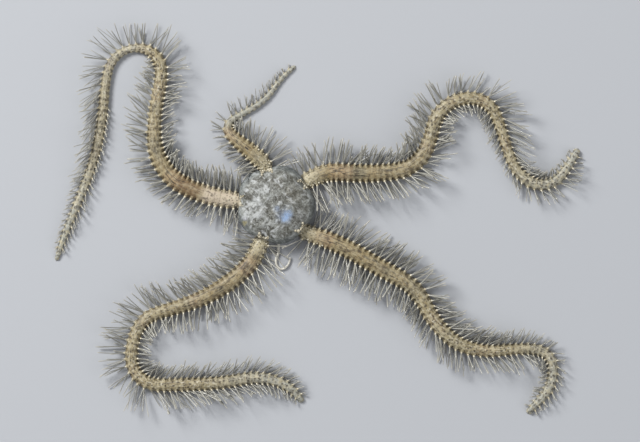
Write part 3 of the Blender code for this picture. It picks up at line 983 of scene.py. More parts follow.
# spreads of chance: in mm along the arm, as shares, and in degrees
ROOT_SPREAD, LENGTH_SPREAD, SCALE_SPREAD = (-0.05, 0.05), (0.78, 1.14), (0.8, 1.05)
LEAN_SPREAD, FAN_SPREAD, TILT_SPREAD = (-11, 11), (-16, 16), (-10, 10)
MISSING, BROKEN = 0.11, 0.07
FIRST_SPINE = -0.35
BARE_TIP, SHORT_TIP, TIP_REACH = 0.5, 4.0, 0.4
LEAST_REACH, SHORTEST = 0.42, 0.35
ROOT_DEPTH, ROOT_SINK = 0.1, 0.055
TOP_BULB = 1.12


def one_spine(route, distance, side, reach, lean, row):
    """A spine's row of the plan, or None for one that is missing."""
    girth, share, tilt, fan = row
    length = (reach + ROOT_DEPTH) * share * draw.uniform(*LENGTH_SPREAD)
    chance = draw.random()
    if chance < BROKEN:
        length *= 0.5
    if length < SHORTEST or chance > 1 - MISSING:
        return None
    lift = side_lift(RIDGE_PLACE, (girth - SIDE_GIRTH) / SIDE_HALF) - ROOT_SINK
    root, heading = arm_place(route, distance + draw.uniform(*ROOT_SPREAD), side * girth, lift)
    toward = heading + side * math.radians(90 - lean - fan + draw.uniform(*FAN_SPREAD))
    rise = math.radians(tilt + draw.uniform(*TILT_SPREAD))
    length /= math.cos(rise)
    direction = aimed(toward, max(rise, rise_to(FLOOR_ROOM, root, length, 0.9)))
    length = kept_inside(root, direction, length)
    tip = root + direction * length
    in_loop = math.dist(tip[:2], FOOT_LOOP[:2]) < FOOT_CLEAR and chance < FOOT_CLEARED
    if length < SHORTEST or in_loop or meets_disc(root, tip):
        return None
    scale = min(1.0, 0.3 + 0.27 * float(route.width(distance))) * draw.uniform(*SCALE_SPREAD)
    if row is SPINE_ROWS[0]:
        scale *= TOP_BULB
    root.z = max(root.z, BULB_ROOM * scale)
    bend = (draw.uniform(-0.05, 0.05), draw.uniform(-0.03, 0.06))
    u, v = on_map(route, distance, side * girth)
    return root, direction, length, scale, bend, u, v, draw.random()


def spine_plan(route):
    plan = []
    for joint in range(route.joints):
        distance = (joint + KNOB_SHARE) * route.pitch - HIDDEN_START
        left = route.length - distance
        if distance < FIRST_SPINE or left < BARE_TIP:
            continue
        shortened = min(1.0, TIP_REACH + (1 - TIP_REACH) * left / SHORT_TIP)
        for column, side in ((2, 1), (3, -1)):
            reach = float(route.station(distance, column)) * shortened
            lean = float(route.station(distance, 4)) + draw.uniform(*LEAN_SPREAD)
            if reach >= LEAST_REACH:
                plan += [one_spine(route, distance, side, reach, lean, row) for row in SPINE_ROWS]
    return [row for row in plan if row]


spines = {}
for name, route in routes.items():
    plan = spine_plan(route)
    spines[name] = rods(name + "_spines", spine, plan, fixed=BULB_HEIGHT)
    print(name, "spines:", len(plan), "triangles:", triangles(spines[name]))

# %% [markdown]
# Along the sole's edges stand short, pointed, cream spinelets that give the mouth side its feathery
# look. They are a smaller rod with a sharp end, two to a side on each joint.

# %% Spinelets along the sole
SPINELET_PROFILE = ((0.0, 0.08), (0.15, 0.11), (0.5, 0.08), (1.0, 0.012))
# share of the joint and girth of the roots
SPINELET_ROOTS = ((0.35, 0.7), (0.8, 0.745))
FIRST_SPINELET = -HIDDEN_START + 1.6
spinelet = turned(SPINELET_PROFILE, sides=5)


def spinelet_plan(route):
    plan = []
    for joint in range(route.joints):
        for share, girth in SPINELET_ROOTS:
            distance = (joint + share) * route.pitch - HIDDEN_START
            if distance < FIRST_SPINELET:
                continue
            width = float(route.width(distance))
            for side in (1, -1):
                root, heading = arm_place(route, distance, side * girth, -0.02)
                length = draw.uniform(0.2, 0.3) * width
                toward = heading + side * math.radians(62 + draw.uniform(-14, 14))
                rise = max(rise_to(0.05, root, length, 0.5), math.radians(-12))
                u, v = on_map(route, distance, side * girth)
                v = v * 0.18 + 0.2 * (route.number - 1)
                plan.append((root, aimed(toward, rise), length, 0.45 * width ** 0.5, (0, 0.1),
                             u, v, draw.random()))
    return plan


all_spinelets = [row for route in routes.values() for row in spinelet_plan(route)]
spinelets = rods("spinelets", spinelet, all_spinelets, fixed=0.1)
print("spinelet triangles:", triangles(spinelets))

# %% [markdown]
# The mouth side rests on the floor. Its frame is a rounded star of limy flesh. Five jaws point at
# the middle from between the arms, with an orange pad between each two, a pale oral shield behind
# each jaw, small teeth round the mouth, and dark slits beside the arms' roots.

# %% The mouth frame
FRAME_NOTCH, FRAME_LOBE, FRAME_SHARPNESS = 2.75, 0.6, 2.5
FRAME_LOW, FRAME_BACK = 0.1, 1.2
# (height, share of the edge), from the top at the middle, round the edge, to the mouth's rim
FRAME_RINGS = ((FRAME_BACK, 0.35), (FRAME_BACK, 0.75), (1.05, 0.98), (0.75, 1.0), (0.42, 0.96),
               (0.28, 0.86), (0.24, 0.6), (0.24, 0.32), (0.4, 0.22), (0.75, 0.19))

mouth = added(bpy.ops.mesh.primitive_circle_add, vertices=80, radius=1.0, fill_type="NOTHING")
top, inner = FRAME_RINGS[0]
moved(mouth, lambda point: Vector((point.x * inner, point.y * inner, top)))
editing(mouth, "EDGE")
ring_by_ring(FRAME_RINGS)
bpy.ops.mesh.edge_face_add()
bpy.ops.mesh.select_all(action="DESELECT")
bpy.ops.mesh.select_non_manifold()
bpy.ops.mesh.edge_face_add()
edited()
faced_outward(mouth)


def frame_reach(bearing):
    """The mouth frame's edge: furthest between the arms, where the oral shields are."""
    return FRAME_NOTCH + FRAME_LOBE * lobe_wave(bearing) ** FRAME_SHARPNESS


def to_frame(point):
    """From plain rings to the rounded star."""
    reach, bearing = math.hypot(point.x, point.y), math.atan2(point.y, point.x)
    radius = reach * (frame_reach(bearing) if reach > 0.5 else FRAME_NOTCH)
    bump = 0.1 * noise.noise(Vector((point.x * 5, point.y * 5, point.z * 2)))
    return about_middle(radius, bearing, max(FRAME_LOW, point.z + bump))


moved(mouth, to_frame)


def seated(obj, bearing, place=(0, 0, 0), tilt=0.0):
    """Seats a shape at (out, across, up) from the disc's middle, turned to a bearing."""
    turn = Matrix.Rotation(math.radians(bearing), 4, "Z")
    obj.matrix_world = (Matrix.Translation(MIDDLE) @ turn @ Matrix.Translation(place)
                        @ Matrix.Rotation(tilt, 4, "Z"))
    return settled(obj)


def lumps(size, bearings, out, up, across=0.0, tilt=0.0):
    """Flattened balls on some bearings: one on each or, with across, one on each side of it."""
    balls = []
    for bearing in bearings:
        for side in (1, -1) if across else (0,):
            ball = added(bpy.ops.mesh.primitive_uv_sphere_add, segments=20, ring_count=12,
                         radius=0.5)
            ball.scale = size
            settled(ball)
            balls.append(seated(ball, bearing, (out, side * across, up), side * tilt))
    return joined(balls)


pads = lumps((1.1, 1.2, 0.7), ARM_BEARINGS, out=1.5, up=0.39)
oral_shields = lumps((1.0, 1.15, 0.42), LOBE_BEARINGS, out=2.3, up=0.29)
slits = lumps((1.5, 0.42, 0.5), ARM_BEARINGS, out=4.15, up=0.8, across=1.42, tilt=0.12)

# %% [markdown]
# A jaw is a wedge with its point at the mouth. A cube is bevelled, subdivided and squeezed toward
# the middle, and small blunt teeth stand round its point.

# %% Jaws and teeth
TOOTH_PROFILE = ((0.0, 0.1), (0.3, 0.1), (0.7, 0.08), (1.0, 0.03))
# degrees off the jaw's bearing, mm out from the middle, length
TOOTH_PLACES = ((-13, 0.72, 0.26), (0, 0.56, 0.3), (13, 0.72, 0.26), (-24, 1.0, 0.22),
                (24, 1.0, 0.22))
TOOTH_HEIGHT = 0.22


def to_jaw(point):
    """From a rounded cube to a wedge with its point at the mouth."""
    half = 0.3 + 0.6 * (point.x + 0.5)
    return Vector((1.15 + 1.2 * point.x, point.y * half * 1.5,
                   0.55 + 0.92 * point.z - 0.04 * point.x))


def jaw(bearing):
    block = added(bpy.ops.mesh.primitive_cube_add, size=1.0)
    applied(block, "BEVEL", width=0.16, segments=3)
    applied(block, "SUBSURF", levels=1, render_levels=1)
    moved(block, to_jaw)
    return seated(block, bearing)


jaws = {number: jaw(lobe) for number, lobe in enumerate(LOBE_BEARINGS, 1)}
tooth_rows = []
for lobe in LOBE_BEARINGS:
    for offset, out, length in TOOTH_PLACES:
        bearing = math.radians(lobe + offset)
        root = MIDDLE + Vector((out * math.cos(bearing), out * math.sin(bearing), TOOTH_HEIGHT))
        inward = Vector((-math.cos(bearing), -math.sin(bearing), -0.25)).normalized()
        tooth_rows.append((root, inward, length, 0.8, (0, 0), 0.1 + 0.8 * bearing / 7, 0.5,
                           draw.random()))
tooth = turned(TOOTH_PROFILE, sides=8)
teeth = rods("teeth", tooth, tooth_rows, fixed=0.1)

# %% [markdown]
# A curled tube foot lies beside the disc. It is a soft tube with rings of small knobs. A curve with
# a round bevel follows the same route as its solid, becomes a mesh, and its points swell in rings.

# %% The tube foot
FOOT_RADIUS, FOOT_TAPER = 0.25, 0.45
FOOT_ROUTE = ((4.9, 0.0, 0.75), (5.6, 0.0, 0.45), (6.4, 0.0, 0.26), (7.1, -0.1, 0.26),
              (8.1, -0.6, 0.26), (9.1, -0.4, 0.26), (9.5, 0.4, 0.26), (8.8, 1.3, 0.26),
              (7.8, 1.6, 0.26))


def foot_points():
    """The foot's route, rounded off between its own points."""
    turn = Matrix.Rotation(math.radians(FOOT_BEARING), 3, "Z")
    knots = np.array([MIDDLE + turn @ Vector(knot) for knot in FOOT_ROUTE])
    for _ in range(4):
        near, far = knots[:-1], knots[1:]
        cut = np.stack([near * 0.75 + far * 0.25, near * 0.25 + far * 0.75], axis=1)
        knots = np.concatenate([knots[:1], cut.reshape(-1, 3), knots[-1:]])
    return knots


foot_curve = bpy.data.curves.new("foot", "CURVE")
foot_curve.dimensions = "3D"
foot_curve.bevel_depth, foot_curve.bevel_resolution, foot_curve.use_fill_caps = 1.0, 4, True
knots = foot_points()
line = foot_curve.splines.new("POLY")
line.points.add(len(knots) - 1)
for index, (point, knot) in enumerate(zip(line.points, knots)):
    share = index / (len(knots) - 1)
    point.co = (*knot, 1.0)
    point.radius = FOOT_RADIUS * (0.98 - FOOT_TAPER * share) * (1 - 0.1 * (index % 4 == 0))
only(linked("foot", foot_curve))
bpy.ops.object.convert(target="MESH")
foot = bpy.context.object
editing(foot)
bpy.ops.mesh.remove_doubles(threshold=0.0005)
edited()
faced_outward(foot)
print("foot triangles:", triangles(foot))

# %% [markdown]
# At each notch the arm's root is a cluster of bright cream knobs, some of them with a dark socket.
# The cluster climbs onto the disc's edge and opens there in a V. One knob is turned from a profile
# and copied at different sizes, and a pair of flattened balls under each V ties it to the skin.

# %% Plates and knobs at the notches
notch_plates = lumps((1.2, 0.5, 0.5), ARM_BEARINGS, out=4.75, up=2.4, across=0.6, tilt=-0.8)
KNOB_HEIGHT = 0.34
KNOB_PROFILE = ((0.0, 0.1), (0.08, 0.17), (0.2, 0.18), (0.3, 0.11), (KNOB_HEIGHT, 0.04))
# distances and girths of the pairs on the arm's edges, and of the knobs on its back
EDGE_KNOBS = ((-0.25, 0.24), (0.1, 0.33), (0.55, 0.27), (0.95, 0.34), (1.4, 0.3), (1.9, 0.34),
              (-0.3, 0.1), (0.3, 0.15), (2.7, 0.34), (3.5, 0.345))
BACK_KNOBS = [(0.1 + 0.5 * row, 0.07 * (2 * column - 3 + row % 2))
              for row in range(4) for column in range(4)]
# places of those on the disc's edge, as mm out from the middle and across the arm
NOTCH_KNOBS = [(out, across) for out in (5.0, 4.8, 4.6)
               for across in (-0.7, -0.47, -0.24, 0, 0.24, 0.47, 0.7)
               if abs(across) >= (5.0 - out) * 1.2]
SMALL_KNOB_ARMS, SMALL_KNOB = (1, 3), 0.75


def knob_row(route, root, direction, length, size, u, v):
    u += 0.1 + 0.15 * route.number
    return root, direction, length, size, (0, 0), u, v, draw.random()


def edge_knobs(route):
    for distance, girth in EDGE_KNOBS:
        for side in (1, -1):
            at = distance + draw.uniform(-0.12, 0.12)
            root, heading = arm_place(route, at, side * girth, -0.045)
            out = Vector((-math.sin(heading) * side * 0.7, math.cos(heading) * side * 0.7, 0.8))
            yield knob_row(route, root, out.normalized(), KNOB_HEIGHT, draw.uniform(0.55, 0.95),
                           at * 0.02, 0.5 + side * girth)


def back_knobs(route):
    for distance, girth in BACK_KNOBS:
        if draw.random() >= 0.4 + 0.25 * distance:
            at = distance + draw.uniform(-0.12, 0.12)
            root, _ = arm_place(route, at, girth + draw.uniform(-0.03, 0.03), -0.035)
            up = (draw.uniform(-0.2, 0.2), draw.uniform(-0.2, 0.2), 1.0)
            yield knob_row(route, root, up, 0.3, draw.uniform(0.5, 0.9), at * 0.02, 0.5 + girth)


def notch_knobs(route):
    for out, across in NOTCH_KNOBS:
        out, across = out + draw.uniform(-0.07, 0.07), across + draw.uniform(-0.07, 0.07)
        bearing = math.radians(route.bearing) + math.atan2(across, out)
        reach = min(0.985, math.hypot(out, across) / lobe_radius(bearing))
        up = Vector((math.cos(bearing) * 0.6, math.sin(bearing) * 0.6, 1.0)).normalized()
        size = draw.uniform(0.6, 1.15) * (SMALL_KNOB if route.number in SMALL_KNOB_ARMS else 1.0)
        yield knob_row(route, on_disc(reach, bearing, -0.12), up, KNOB_HEIGHT, size,
                       (5.2 - out) * 0.05, 0.9 + across * 0.05)


knob = turned(KNOB_PROFILE, sides=10)
knob_rows = [row for route in routes.values() for kind in (edge_knobs, back_knobs, notch_knobs)
             for row in kind(route)]
knobs = rods("root_knobs", knob, knob_rows, fixed=KNOB_HEIGHT)
print("knobs:", len(knob_rows), "triangles:", triangles(knobs))

# %% [markdown]
# The arm's colour changes along and across. Near the disc the back is ochre, with peach and olive
# coming and going every few joints and fine brown lines down the middle. Further out it turns to
# straw with dark spots and whitish dashes, and the thin ends are pale. Along both edges a cream
# knob and a dark gap take turns, once a joint, and the sole is cream. Three places are set one by
# one, because they stand out on the real animal: rosy first joints with a russet band on the third
# arm, and a small dark scar on the second.

# %% Arm colours
OCHRE, OLIVE, PEACH = paint(138, 120, 82), paint(82, 74, 52), paint(160, 132, 98)
BROWN, DARK_LINE, SCAR_BROWN = paint(54, 43, 28), paint(46, 37, 25), paint(34, 24, 16)
CREAM, STRAW, PALE_TIP = paint(178, 168, 138), paint(152, 142, 110), paint(156, 157, 147)
ROSE, RUSSET, WHITISH = paint(202, 187, 166), paint(116, 88, 60), paint(206, 200, 180)
SOLE_CREAM, CHALK = paint(222, 209, 172), paint(240, 238, 226)
ROOT_JOINT = HIDDEN_START / JOINT
SCAR_ARM, SCAR_JOINT = 2.0, 8.9
ROSY_ARM, RUSSET_JOINT = 3.0, ROOT_JOINT + 9.0
ARM_SHIFT = 37.0


def arm_colour(finish, streaks=1.0):
    """The arm's marks, from the ground colour up. streaks is the strength of the brown lines."""
    joint, girth, width = finish.attribute("address")
    arm, left, side = finish.attribute("arm")
    along = joint + arm * ARM_SHIFT
    around = girth * width
    unrolled = finish.vector(along * JOINT, around * HALF_GIRTH)

    def grain(stretch, across, layer, detail=1.0, roughness=0.5):
        """Noise along and across the arm."""
        return finish.noise(finish.vector(along * stretch, across, layer), 1.0, detail, roughness)

    slow = grain(0.17, side * 1.5, 0.0)
    warm = grain(0.2, 9.0, arm)
    mottle = finish.noise(finish.millimetres(), 2.4, 3.0, 0.65)
    own_tone = finish.node("ShaderNodeTexWhiteNoise", {"noise_dimensions": "2D"},
                           {"Vector": finish.vector(along.maths("FLOOR", along + 0.02), arm)})
    dashes = grain(1.3, girth * 15.0, arm + 4.0, 3.0, 0.7)
    lines = grain(0.55, girth * 15.0, arm, 2.0, 0.6).rising(0.525, 0.585)
    groups = grain(0.35, 3.0, arm + 8.0).rising(0.4, 0.56)
    white = grain(1.1, around * 5.0, arm + 11.0, 3.0, 0.7)
    blotch = grain(0.75, around * 2.2, arm + 2.0, 2.0, 0.6)
    uneven = grain(2.3, around * 2.0, arm + 6.0, 2.0, 0.6)
    spots = finish.cells(unrolled, 1.25, dimensions="2D")
    pits = finish.cells(unrolled, 1.9, dimensions="2D")

    root = joint.falling(ROOT_JOINT + 0.5, ROOT_JOINT + 4.5)
    outward = joint.rising(14.0, 34.0)
    tip = left.falling(5.0, 17.0)
    thin = width.falling(0.9, 1.75)
    on_back = side.falling(0.14, 0.3)
    on_rosy_arm = arm.near(ROSY_ARM, 0.1, 0.4)
    rosy = on_rosy_arm * joint.falling(ROOT_JOINT + 5.5, ROOT_JOINT + 7.5)
    russet = on_rosy_arm * joint.near(RUSSET_JOINT, 1.2, 3.0)
    scar = joint.near(SCAR_JOINT, 0.2, 0.5) * side.falling(0.02, 0.05)
    scar = scar * arm.near(SCAR_ARM, 0.1, 0.4)
    beat = abs((joint - KNOB_SHARE + 0.5).fract() - 0.5)
    uneven = uneven.rising(0.42, 0.6) * (1 - root) * side.falling(0.2, 0.28)
    edge = side.rising(0.2, 0.28) * side.falling(0.5, 0.62) * (own_tone * 0.5 + 0.6)
    gap = (0.66 - outward * 0.16) * (1 - tip * 0.2)
    dark = blotch.rising(0.54, 0.63) * (1 - root) * (on_back * 0.25 - outward * 0.15 + 0.35)
    return finish.layers(
        OCHRE,
        (slow.rising(0.5, 0.66) * 0.8, OLIVE),
        (warm.rising(0.5, 0.62) * 0.6, PEACH),
        (mottle.rising(0.5, 0.7) * 0.35, OLIVE),
        (own_tone * 0.22, CREAM),
        (dashes.rising(0.53, 0.63) * 0.45, CREAM),
        (lines * (groups * 0.55 + 0.35) * streaks * on_back, DARK_LINE),
        (side.rising(0.36, 0.55) * 0.45, CREAM),
        (root * 0.8, CREAM),
        (rosy * 0.75, ROSE),
        (russet * 0.6, RUSSET),
        (outward * 0.4, STRAW),
        (thin * 0.8, PALE_TIP),
        (tip * 0.75, PALE_TIP),
        (white.rising(0.53, 0.6) * (root * 0.6 + outward * 0.65), WHITISH),
        (spots.falling(0.13, 0.24) * outward * (0.85 - thin * 0.25), BROWN),
        (pits.falling(0.12, 0.3) * (root * 0.4 + outward * 0.35 + 0.3), BROWN),
        (dark, BROWN),
        (blotch.falling(0.38, 0.48) * (outward * 0.3 + 0.25), CREAM),
        (beat.falling(0.05, 0.25) * uneven * (outward * 0.4 + 0.2), CREAM),
        (beat.rising(0.3, 0.45) * uneven * 0.3, BROWN),
        (beat.rising(0.2, 0.36) * edge * gap, BROWN),
        (beat.falling(0.1, 0.22) * edge * 0.75, CREAM),
        (scar, SCAR_BROWN),
        (side.rising(0.62, 0.78), SOLE_CREAM),
    )


# %% [markdown]
# The skin and the upper and side plates share that recipe, over a height of fine stony grit. The
# side plates have weaker lines. A shield on the sole is white in its middle, and the pores are
# plain dark.

# %% Arm finishes
def arm_material(name, streaks=1.0, **constants):
    """The arm's colour over fine stony grain and pits."""
    finish = Finish(name, **constants)
    place = finish.millimetres()
    grit = finish.noise(place, 9.0, 3.0) * 0.6 + finish.cells(place, 9.0 * 1.3) * 0.5
    return finish.done(arm_colour(finish, streaks), grit, 0.06)


skin_material = arm_material("arm_flesh", Roughness=0.55, Coat_Weight=0.08)
upper_material = arm_material("upper_plate_lime", Roughness=0.52, Coat_Weight=0.1,
                              Coat_Roughness=0.3)
side_material = arm_material("side_plate_lime", streaks=0.4, Roughness=0.52, Coat_Weight=0.1)
sole_finish = Finish("sole_plate_lime", Roughness=0.45, Coat_Weight=0.2)
joint, _, _ = sole_finish.attribute("address")
_, _, side = sole_finish.attribute("arm")
off_middle = ((joint.fract() - 0.5) * 1.9) ** 2.0 + ((1 - side) * 9.0) ** 2.0
sole_colour = sole_finish.mix(off_middle.rising(0.2, 0.8) * 0.9, CHALK, SOLE_CREAM)
sole_grain = sole_finish.noise(sole_finish.millimetres(), 5.0, 3.0)
sole_material = sole_finish.done(sole_colour, sole_grain)
pore_material = Finish("pore_dark", Base_Color=paint(48, 38, 28), Roughness=0.6).material

# %% [markdown]
# Real spines are clear as glass rods, which would vanish on a pale floor. Here they are solid, warm
# grey and glossy, with a chalk-white bulb, so that they keep the tone that they have in the
# picture.

# %% Spine finishes
spine_finish = Finish("spine_glass", Roughness=0.3, Coat_Weight=0.4, Coat_Roughness=0.15)
height, share, tone = spine_finish.attribute("rod")
shaft = spine_finish.mix(tone, paint(124, 122, 113), paint(170, 168, 158))
shaft = spine_finish.mix(share.rising(0.7, 1.0) * 0.5, shaft, paint(196, 191, 176))
bulb = spine_finish.mix(tone, paint(218, 210, 188), paint(184, 172, 142))
spine_colour = spine_finish.mix(height.rising(0.22, 0.42), bulb, shaft)
spine_grain = spine_finish.noise(spine_finish.millimetres(), 14.0, 2.0)
spine_material = spine_finish.done(spine_colour, spine_grain)
spinelet_finish = Finish("spinelet_cream", Roughness=0.45)
_, share, tone = spinelet_finish.attribute("rod")
spinelet_tip = spinelet_finish.mix(tone, CHALK, CREAM)
spinelet_material = spinelet_finish.done(spinelet_finish.mix(share, SOLE_CREAM, spinelet_tip))

# %% [markdown]
# The disc's skin is cool grey, mottled in several sizes: broad clouds, crossing pale and dark
# streaks, and small flecks. A streak is noise on coordinates that are stretched one way, and the
# clouds choose between two slants. Some places stand out on the real one, so two short tables list
# them. Under the mottling go pale clouds on its left, dull and dark fields, and a small painted
# lilac highlight. Over it go a painted blue sheen with a whitish haze right of the middle, and a
# tiny yellow spot of the skin's own colour at the lower left. Noise frays their edges. The pale
# marks are also painted weaker on the disc's right side, as painted shade.

# %% Disc colours
PALE, DULL, DARK = paint(184, 186, 184), paint(102, 96, 80), paint(66, 61, 48)
# Painted light: the lilac is a painted highlight, the blue a painted sheen and the haze that
# sheen's whitish halo. The yellow is the skin's own colour.
PAINTED_LILAC_HIGHLIGHT, PAINTED_BLUE_SHEEN = paint(178, 172, 190), paint(148, 176, 214)
PAINTED_SHEEN_HAZE, YELLOW = paint(136, 150, 172), paint(150, 134, 62)
LOW_CLOUD, HIGH_CLOUD = paint(84, 83, 74), paint(120, 121, 114)
DARK_PATCH, PALE_PATCH = paint(64, 61, 50), paint(158, 160, 155)
DARK_STREAK, PALE_STREAK = paint(58, 56, 47), paint(188, 190, 189)
DARK_FLECK, PALE_FLECK = paint(48, 45, 36), paint(176, 177, 170)
RING_DOT, RING = paint(58, 55, 46), paint(164, 165, 158)
LIGHT_LINE, EDGE_GREY = paint(166, 168, 162), paint(86, 96, 100)
# (x, y, radius of the full tone, radius where it ends, strength, colour), in mm from the middle
DISC_SPOTS_AND_LILAC_HIGHLIGHT = (
    (2.3, 1.6, 0.5, 1.9, 0.6, DULL), (0.3, 3.2, 0.2, 1.3, 0.4, DULL),
    (-0.3, -0.9, 0.1, 1.1, 0.4, DULL), (-3.1, -0.9, 0.9, 2.0, 0.8, PALE),
    (-2.6, 0.9, 0.1, 1.1, 0.6, PALE), (-1.5, 2.3, 0.2, 1.1, 0.7, PALE),
    (-1.2, -2.9, 0.2, 1.3, 0.5, PALE), (3.4, -1.4, 0.1, 1.0, 0.35, PALE),
    # The lilac spot on the next line is a painted highlight beside the yellow spot; the other spots
    # are the skin's own marks.
    (-4.4, -1.9, 0.1, 0.5, 0.6, PAINTED_LILAC_HIGHLIGHT), (-2.3, 3.1, 0.1, 0.8, 0.7, DARK),
    (-3.7, 0.9, 0.0, 0.6, 0.7, DARK), (-1.8, -3.9, 0.2, 0.9, 0.6, DARK),
    (2.8, -2.4, 0.2, 1.0, 0.6, DARK),
)
# Over the mottling: a painted blue sheen with its whitish haze, which are painted light, and one
# yellow spot of the skin's own colour.
PAINTED_SHEENS_AND_YELLOW_SPOT = (
    (1.3, -1.5, 0.3, 1.8, 0.45, PAINTED_SHEEN_HAZE), (1.7, -1.5, 0.0, 1.1, 0.7, PAINTED_BLUE_SHEEN),
    (1.3, -2.1, 0.0, 0.8, 0.55, PAINTED_BLUE_SHEEN), (0.4, -0.5, 0.1, 0.8, 0.5, PAINTED_SHEEN_HAZE),
    (-4.5, -2.8, 0.1, 0.5, 0.75, YELLOW),
)


def away(px, py, x=0.0, y=0.0):
    """The distance to a place that is given from the disc's middle."""
    dx, dy = px - (MIDDLE.x + x), py - (MIDDLE.y + y)
    return (dx * dx + dy * dy) ** 0.5


def disc_colour(finish, paleness):
    """The mottled skin. paleness is the strength of a light line or a scale's rim."""
    where = finish.millimetres()
    px, py, _ = finish.parts(where)
    out = away(px, py)
    clouds = finish.noise(where, 0.5, 2.0, 0.6)
    patches = finish.noise(where, 0.9, 3.0, 0.62)
    flecks = finish.noise(where, 2.9, 3.0, 0.7)
    rising_right = finish.noise(finish.vector((px + py) * 0.55, (px - py) * 1.25), 1.0)
    rising_left = finish.noise(finish.vector((px + py) * 1.25 + 7.0, (px - py) * 0.55), 1.0)
    which = clouds.rising(0.45, 0.55)
    streaks = rising_right * which + rising_left * (1 - which)
    # Painted shade: the pale patches and streaks are weaker toward the disc's right, so its right
    # side is painted dimmer and its left side lighter.
    painted_dim_right = (px - MIDDLE.x).rising(-0.5, 3.5)
    wobble = patches * 1.8 - 0.9
    rings = finish.cells(finish.vector(px, py), 2.7, dimensions="2D")
    ringed = rings.rising(0.14, 0.22) * rings.falling(0.28, 0.38)
    belt = out.rising(0.9, 1.6) * out.falling(3.2, 4.2) * clouds.rising(0.4, 0.56)

    def spotted(spots):
        return [((away(px, py, x, y) + wobble).falling(inner, outer) * strength, tone)
                for x, y, inner, outer, strength, tone in spots]

    return finish.layers(
        LOW_CLOUD,
        (clouds.rising(0.4, 0.6), HIGH_CLOUD),
        *spotted(DISC_SPOTS_AND_LILAC_HIGHLIGHT),
        (patches.rising(0.52, 0.6) * 0.75, DARK_PATCH),
        (patches.falling(0.38, 0.47) * (0.6 - painted_dim_right * 0.25), PALE_PATCH),
        (streaks.rising(0.51, 0.65) * (0.75 - painted_dim_right * 0.35), PALE_STREAK),
        (streaks.falling(0.34, 0.48) * 0.65, DARK_STREAK),
        (flecks.rising(0.53, 0.61) * 0.5, DARK_FLECK),
        (flecks.falling(0.37, 0.45) * 0.35, PALE_FLECK),
        *spotted(PAINTED_SHEENS_AND_YELLOW_SPOT),
        (ringed * belt * 0.4, RING),
        (rings.falling(0.08, 0.16) * belt * 0.6, RING_DOT),
        (paleness, LIGHT_LINE),
        (out.rising(4.5, 5.7) * 0.45, EDGE_GREY),
    )


# %% [markdown]
# Two finishes use that recipe. The skin's height is a net of fine round scales with some grit, and
# the net shows as lighter lines. A shield has grit alone, and a light line along its rim.

# %% Disc finishes
def scaly(finish, scale):
    """The net between fine round scales: 0 in the joints, 1 on the scales."""
    where = finish.millimetres()
    warp = finish.vector(finish.noise(where, 1.7) * 0.15, finish.noise(where, 2.3) * 0.15)
    warped = finish.node("ShaderNodeVectorMath", {"operation": "ADD"}, {0: where, 1: warp})
    return finish.cells(warped, scale, "DISTANCE_TO_EDGE").rising(0.0, 0.22)


disc_finish = Finish("disc_skin_grey", Roughness=0.6, Coat_Weight=0.06, Coat_Roughness=0.3)
scales = scaly(disc_finish, 2.9)
grit = disc_finish.noise(disc_finish.millimetres(), 9.0, 3.0)
disc_material = disc_finish.done(disc_colour(disc_finish, (1 - scales) * 0.2),
                                 scales * 0.5 + grit, 0.045)
shield_finish = Finish("shield_lime", Roughness=0.6, Coat_Weight=0.06, Coat_Roughness=0.3)
u, v, _ = shield_finish.attribute("patch")
rim = u.maths("MAXIMUM", abs(u), abs(v)).rising(0.86, 0.97)
grit = shield_finish.noise(shield_finish.millimetres(), 7.0, 3.0)
shield_material = shield_finish.done(disc_colour(shield_finish, rim * 0.4), grit, 0.06)

# %% [markdown]
# The mouth side is cream and white lime with orange pads round a dark mouth. One recipe, two
# colours blended by noise, does for all its small plates. The frame alone is mapped by its distance
# from the middle, dark in the mouth and pale lilac out between the arms. The tube foot is soft and
# glossy.

# %% Mouth and foot finishes
DARK_MOUTH, LILAC_WHITE = paint(44, 32, 22), paint(214, 212, 218)


def mottled(name, first, second, scale, roughness=0.45):
    """Lime or skin in two colours, blended by noise."""
    finish = Finish(name, Roughness=roughness, Coat_Weight=0.2, Coat_Roughness=0.3)
    where = finish.millimetres()
    blend = finish.noise(where, scale, 3.0).rising(0.35, 0.65)
    return finish.done(finish.mix(blend, first, second), finish.noise(where, scale * 4, 3.0))


frame_finish = Finish("frame_lime", Roughness=0.45, Coat_Weight=0.2, Coat_Roughness=0.3)
where = frame_finish.millimetres()
px, py, _ = frame_finish.parts(where)
out = away(px, py)
frame_colour = frame_finish.layers(
    paint(224, 210, 168),
    (frame_finish.noise(where, 1.6, 3.0).rising(0.4, 0.6), paint(222, 220, 214)),
    (out.rising(2.0, 3.1) * 0.7, LILAC_WHITE),
    (out.falling(0.5, 0.85), DARK_MOUTH),
)
frame_material = frame_finish.done(frame_colour, frame_finish.noise(where, 6.4, 3.0), 0.03)
jaw_material = mottled("jaw_lime", paint(228, 208, 162), paint(238, 226, 196), 3.0)
pad_material = mottled("pad_orange", paint(226, 176, 124), paint(234, 196, 152), 2.5)
oral_material = mottled("oral_shield_lime", paint(176, 180, 166), paint(222, 220, 222), 1.8)
slit_material = mottled("slit_dark", paint(52, 40, 26), paint(84, 68, 44), 3.0)
foot_material = mottled("foot_skin", paint(214, 210, 198), paint(182, 178, 166), 5.0, 0.35)
notch_material = mottled("notch_lime", paint(196, 190, 168), paint(160, 158, 148), 2.4)
tooth_material = mottled("tooth_lime", paint(236, 224, 190), paint(214, 188, 140), 6.0)
knob_finish = Finish("knob_chalk", Roughness=0.45, Coat_Weight=0.15, Coat_Roughness=0.3)
_, share, tone = knob_finish.attribute("rod")
socket = share.rising(0.84, 0.95) * tone.rising(0.6, 0.7) * 0.8
knob_lime = knob_finish.mix(tone, paint(200, 192, 170), paint(154, 144, 118))
knob_material = knob_finish.done(knob_finish.mix(socket, knob_lime, BROWN))

# %% [markdown]
# Each shape now becomes a piece of the model. The skin of arms and disc stands for the solids of
# flesh, the jaws, the frame and the foot each for their own, and the plates and spines ride on top.

# %% Seating the pieces
CREASE = 40


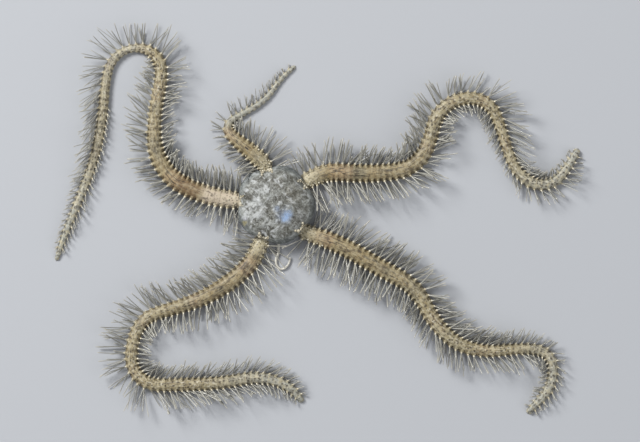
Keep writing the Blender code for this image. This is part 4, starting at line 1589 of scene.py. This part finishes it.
def piece(obj, name, materials, slot, *nodes, crease=None):
    """Names a finished shape, scales it to metres, paints it and seats it on the body."""
    obj.name = obj.data.name = name
    obj.scale = (MM, MM, MM)
    settled(obj)
    if materials:
        obj.data.materials.clear()
        for material in materials:
            obj.data.materials.append(material)
    obj.data.shade_smooth()
    if crease is not None:
        obj.data.set_sharp_from_angle(angle=math.radians(crease))
    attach(obj, "root")
    if nodes:
        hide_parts(*nodes)
    print(name, "triangles:", triangles(obj))
    return obj


arm_nodes = [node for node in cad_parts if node.startswith("arm_")]
disc.data.materials.append(disc_material)
for label in ("address", "arm"):
    disc.data.attributes.new(label, "FLOAT_VECTOR", "POINT")
for arm_skin in arm_skins:
    arm_skin.data.materials[0], arm_skin.data.materials[1] = skin_material, pore_material
skin = piece(joined([*arm_skins, disc]), "skin", [], "arm_plates", "disc", *arm_nodes)
print("skin finishes:", [material.name for material in skin.data.materials])

piece(upper_plates, "upper_plates", [upper_material], "arm_plates", crease=CREASE)
piece(side_plates_all, "side_plates", [side_material], "arm_plates", crease=CREASE)
piece(sole_plates, "sole_plates", [sole_material], "arm_plates", crease=CREASE)
piece(shields, "radial_shields", [shield_material], "disc_skin", crease=CREASE)
piece(notch_plates, "notch_plates", [notch_material], "disc_skin")
piece(knobs, "root_knobs", [knob_material], "arm_plates")
for name, obj in spines.items():
    piece(obj, name + "_spines", [spine_material], "arm_plates")
piece(spinelets, "sole_spinelets", [spinelet_material], "arm_plates")
piece(mouth, "mouth_frame_flesh", [frame_material], "mouth_plates", "mouth_frame")
for number, obj in jaws.items():
    piece(obj, f"jaw_{number}_plate", [jaw_material], "jaw_plates", f"jaw_{number}")
piece(pads, "mouth_pads", [pad_material], "mouth_plates")
piece(oral_shields, "oral_shields", [oral_material], "mouth_plates")
piece(slits, "bursal_slits", [slit_material], "disc_skin")
piece(teeth, "teeth", [tooth_material], "jaw_plates")
piece(foot, "tube_foot_flesh", [foot_material], "tube_foot_skin", "tube_foot")

# %% [markdown]
# The masters and guides have done their work and go.

# %% Clearing up
masters = (skin_joint, upper_plate, side_plates, sole_plate, spine, spinelet, knob, tooth)
for helper in (*masters, *guides.values()):
    bpy.data.objects.remove(helper)
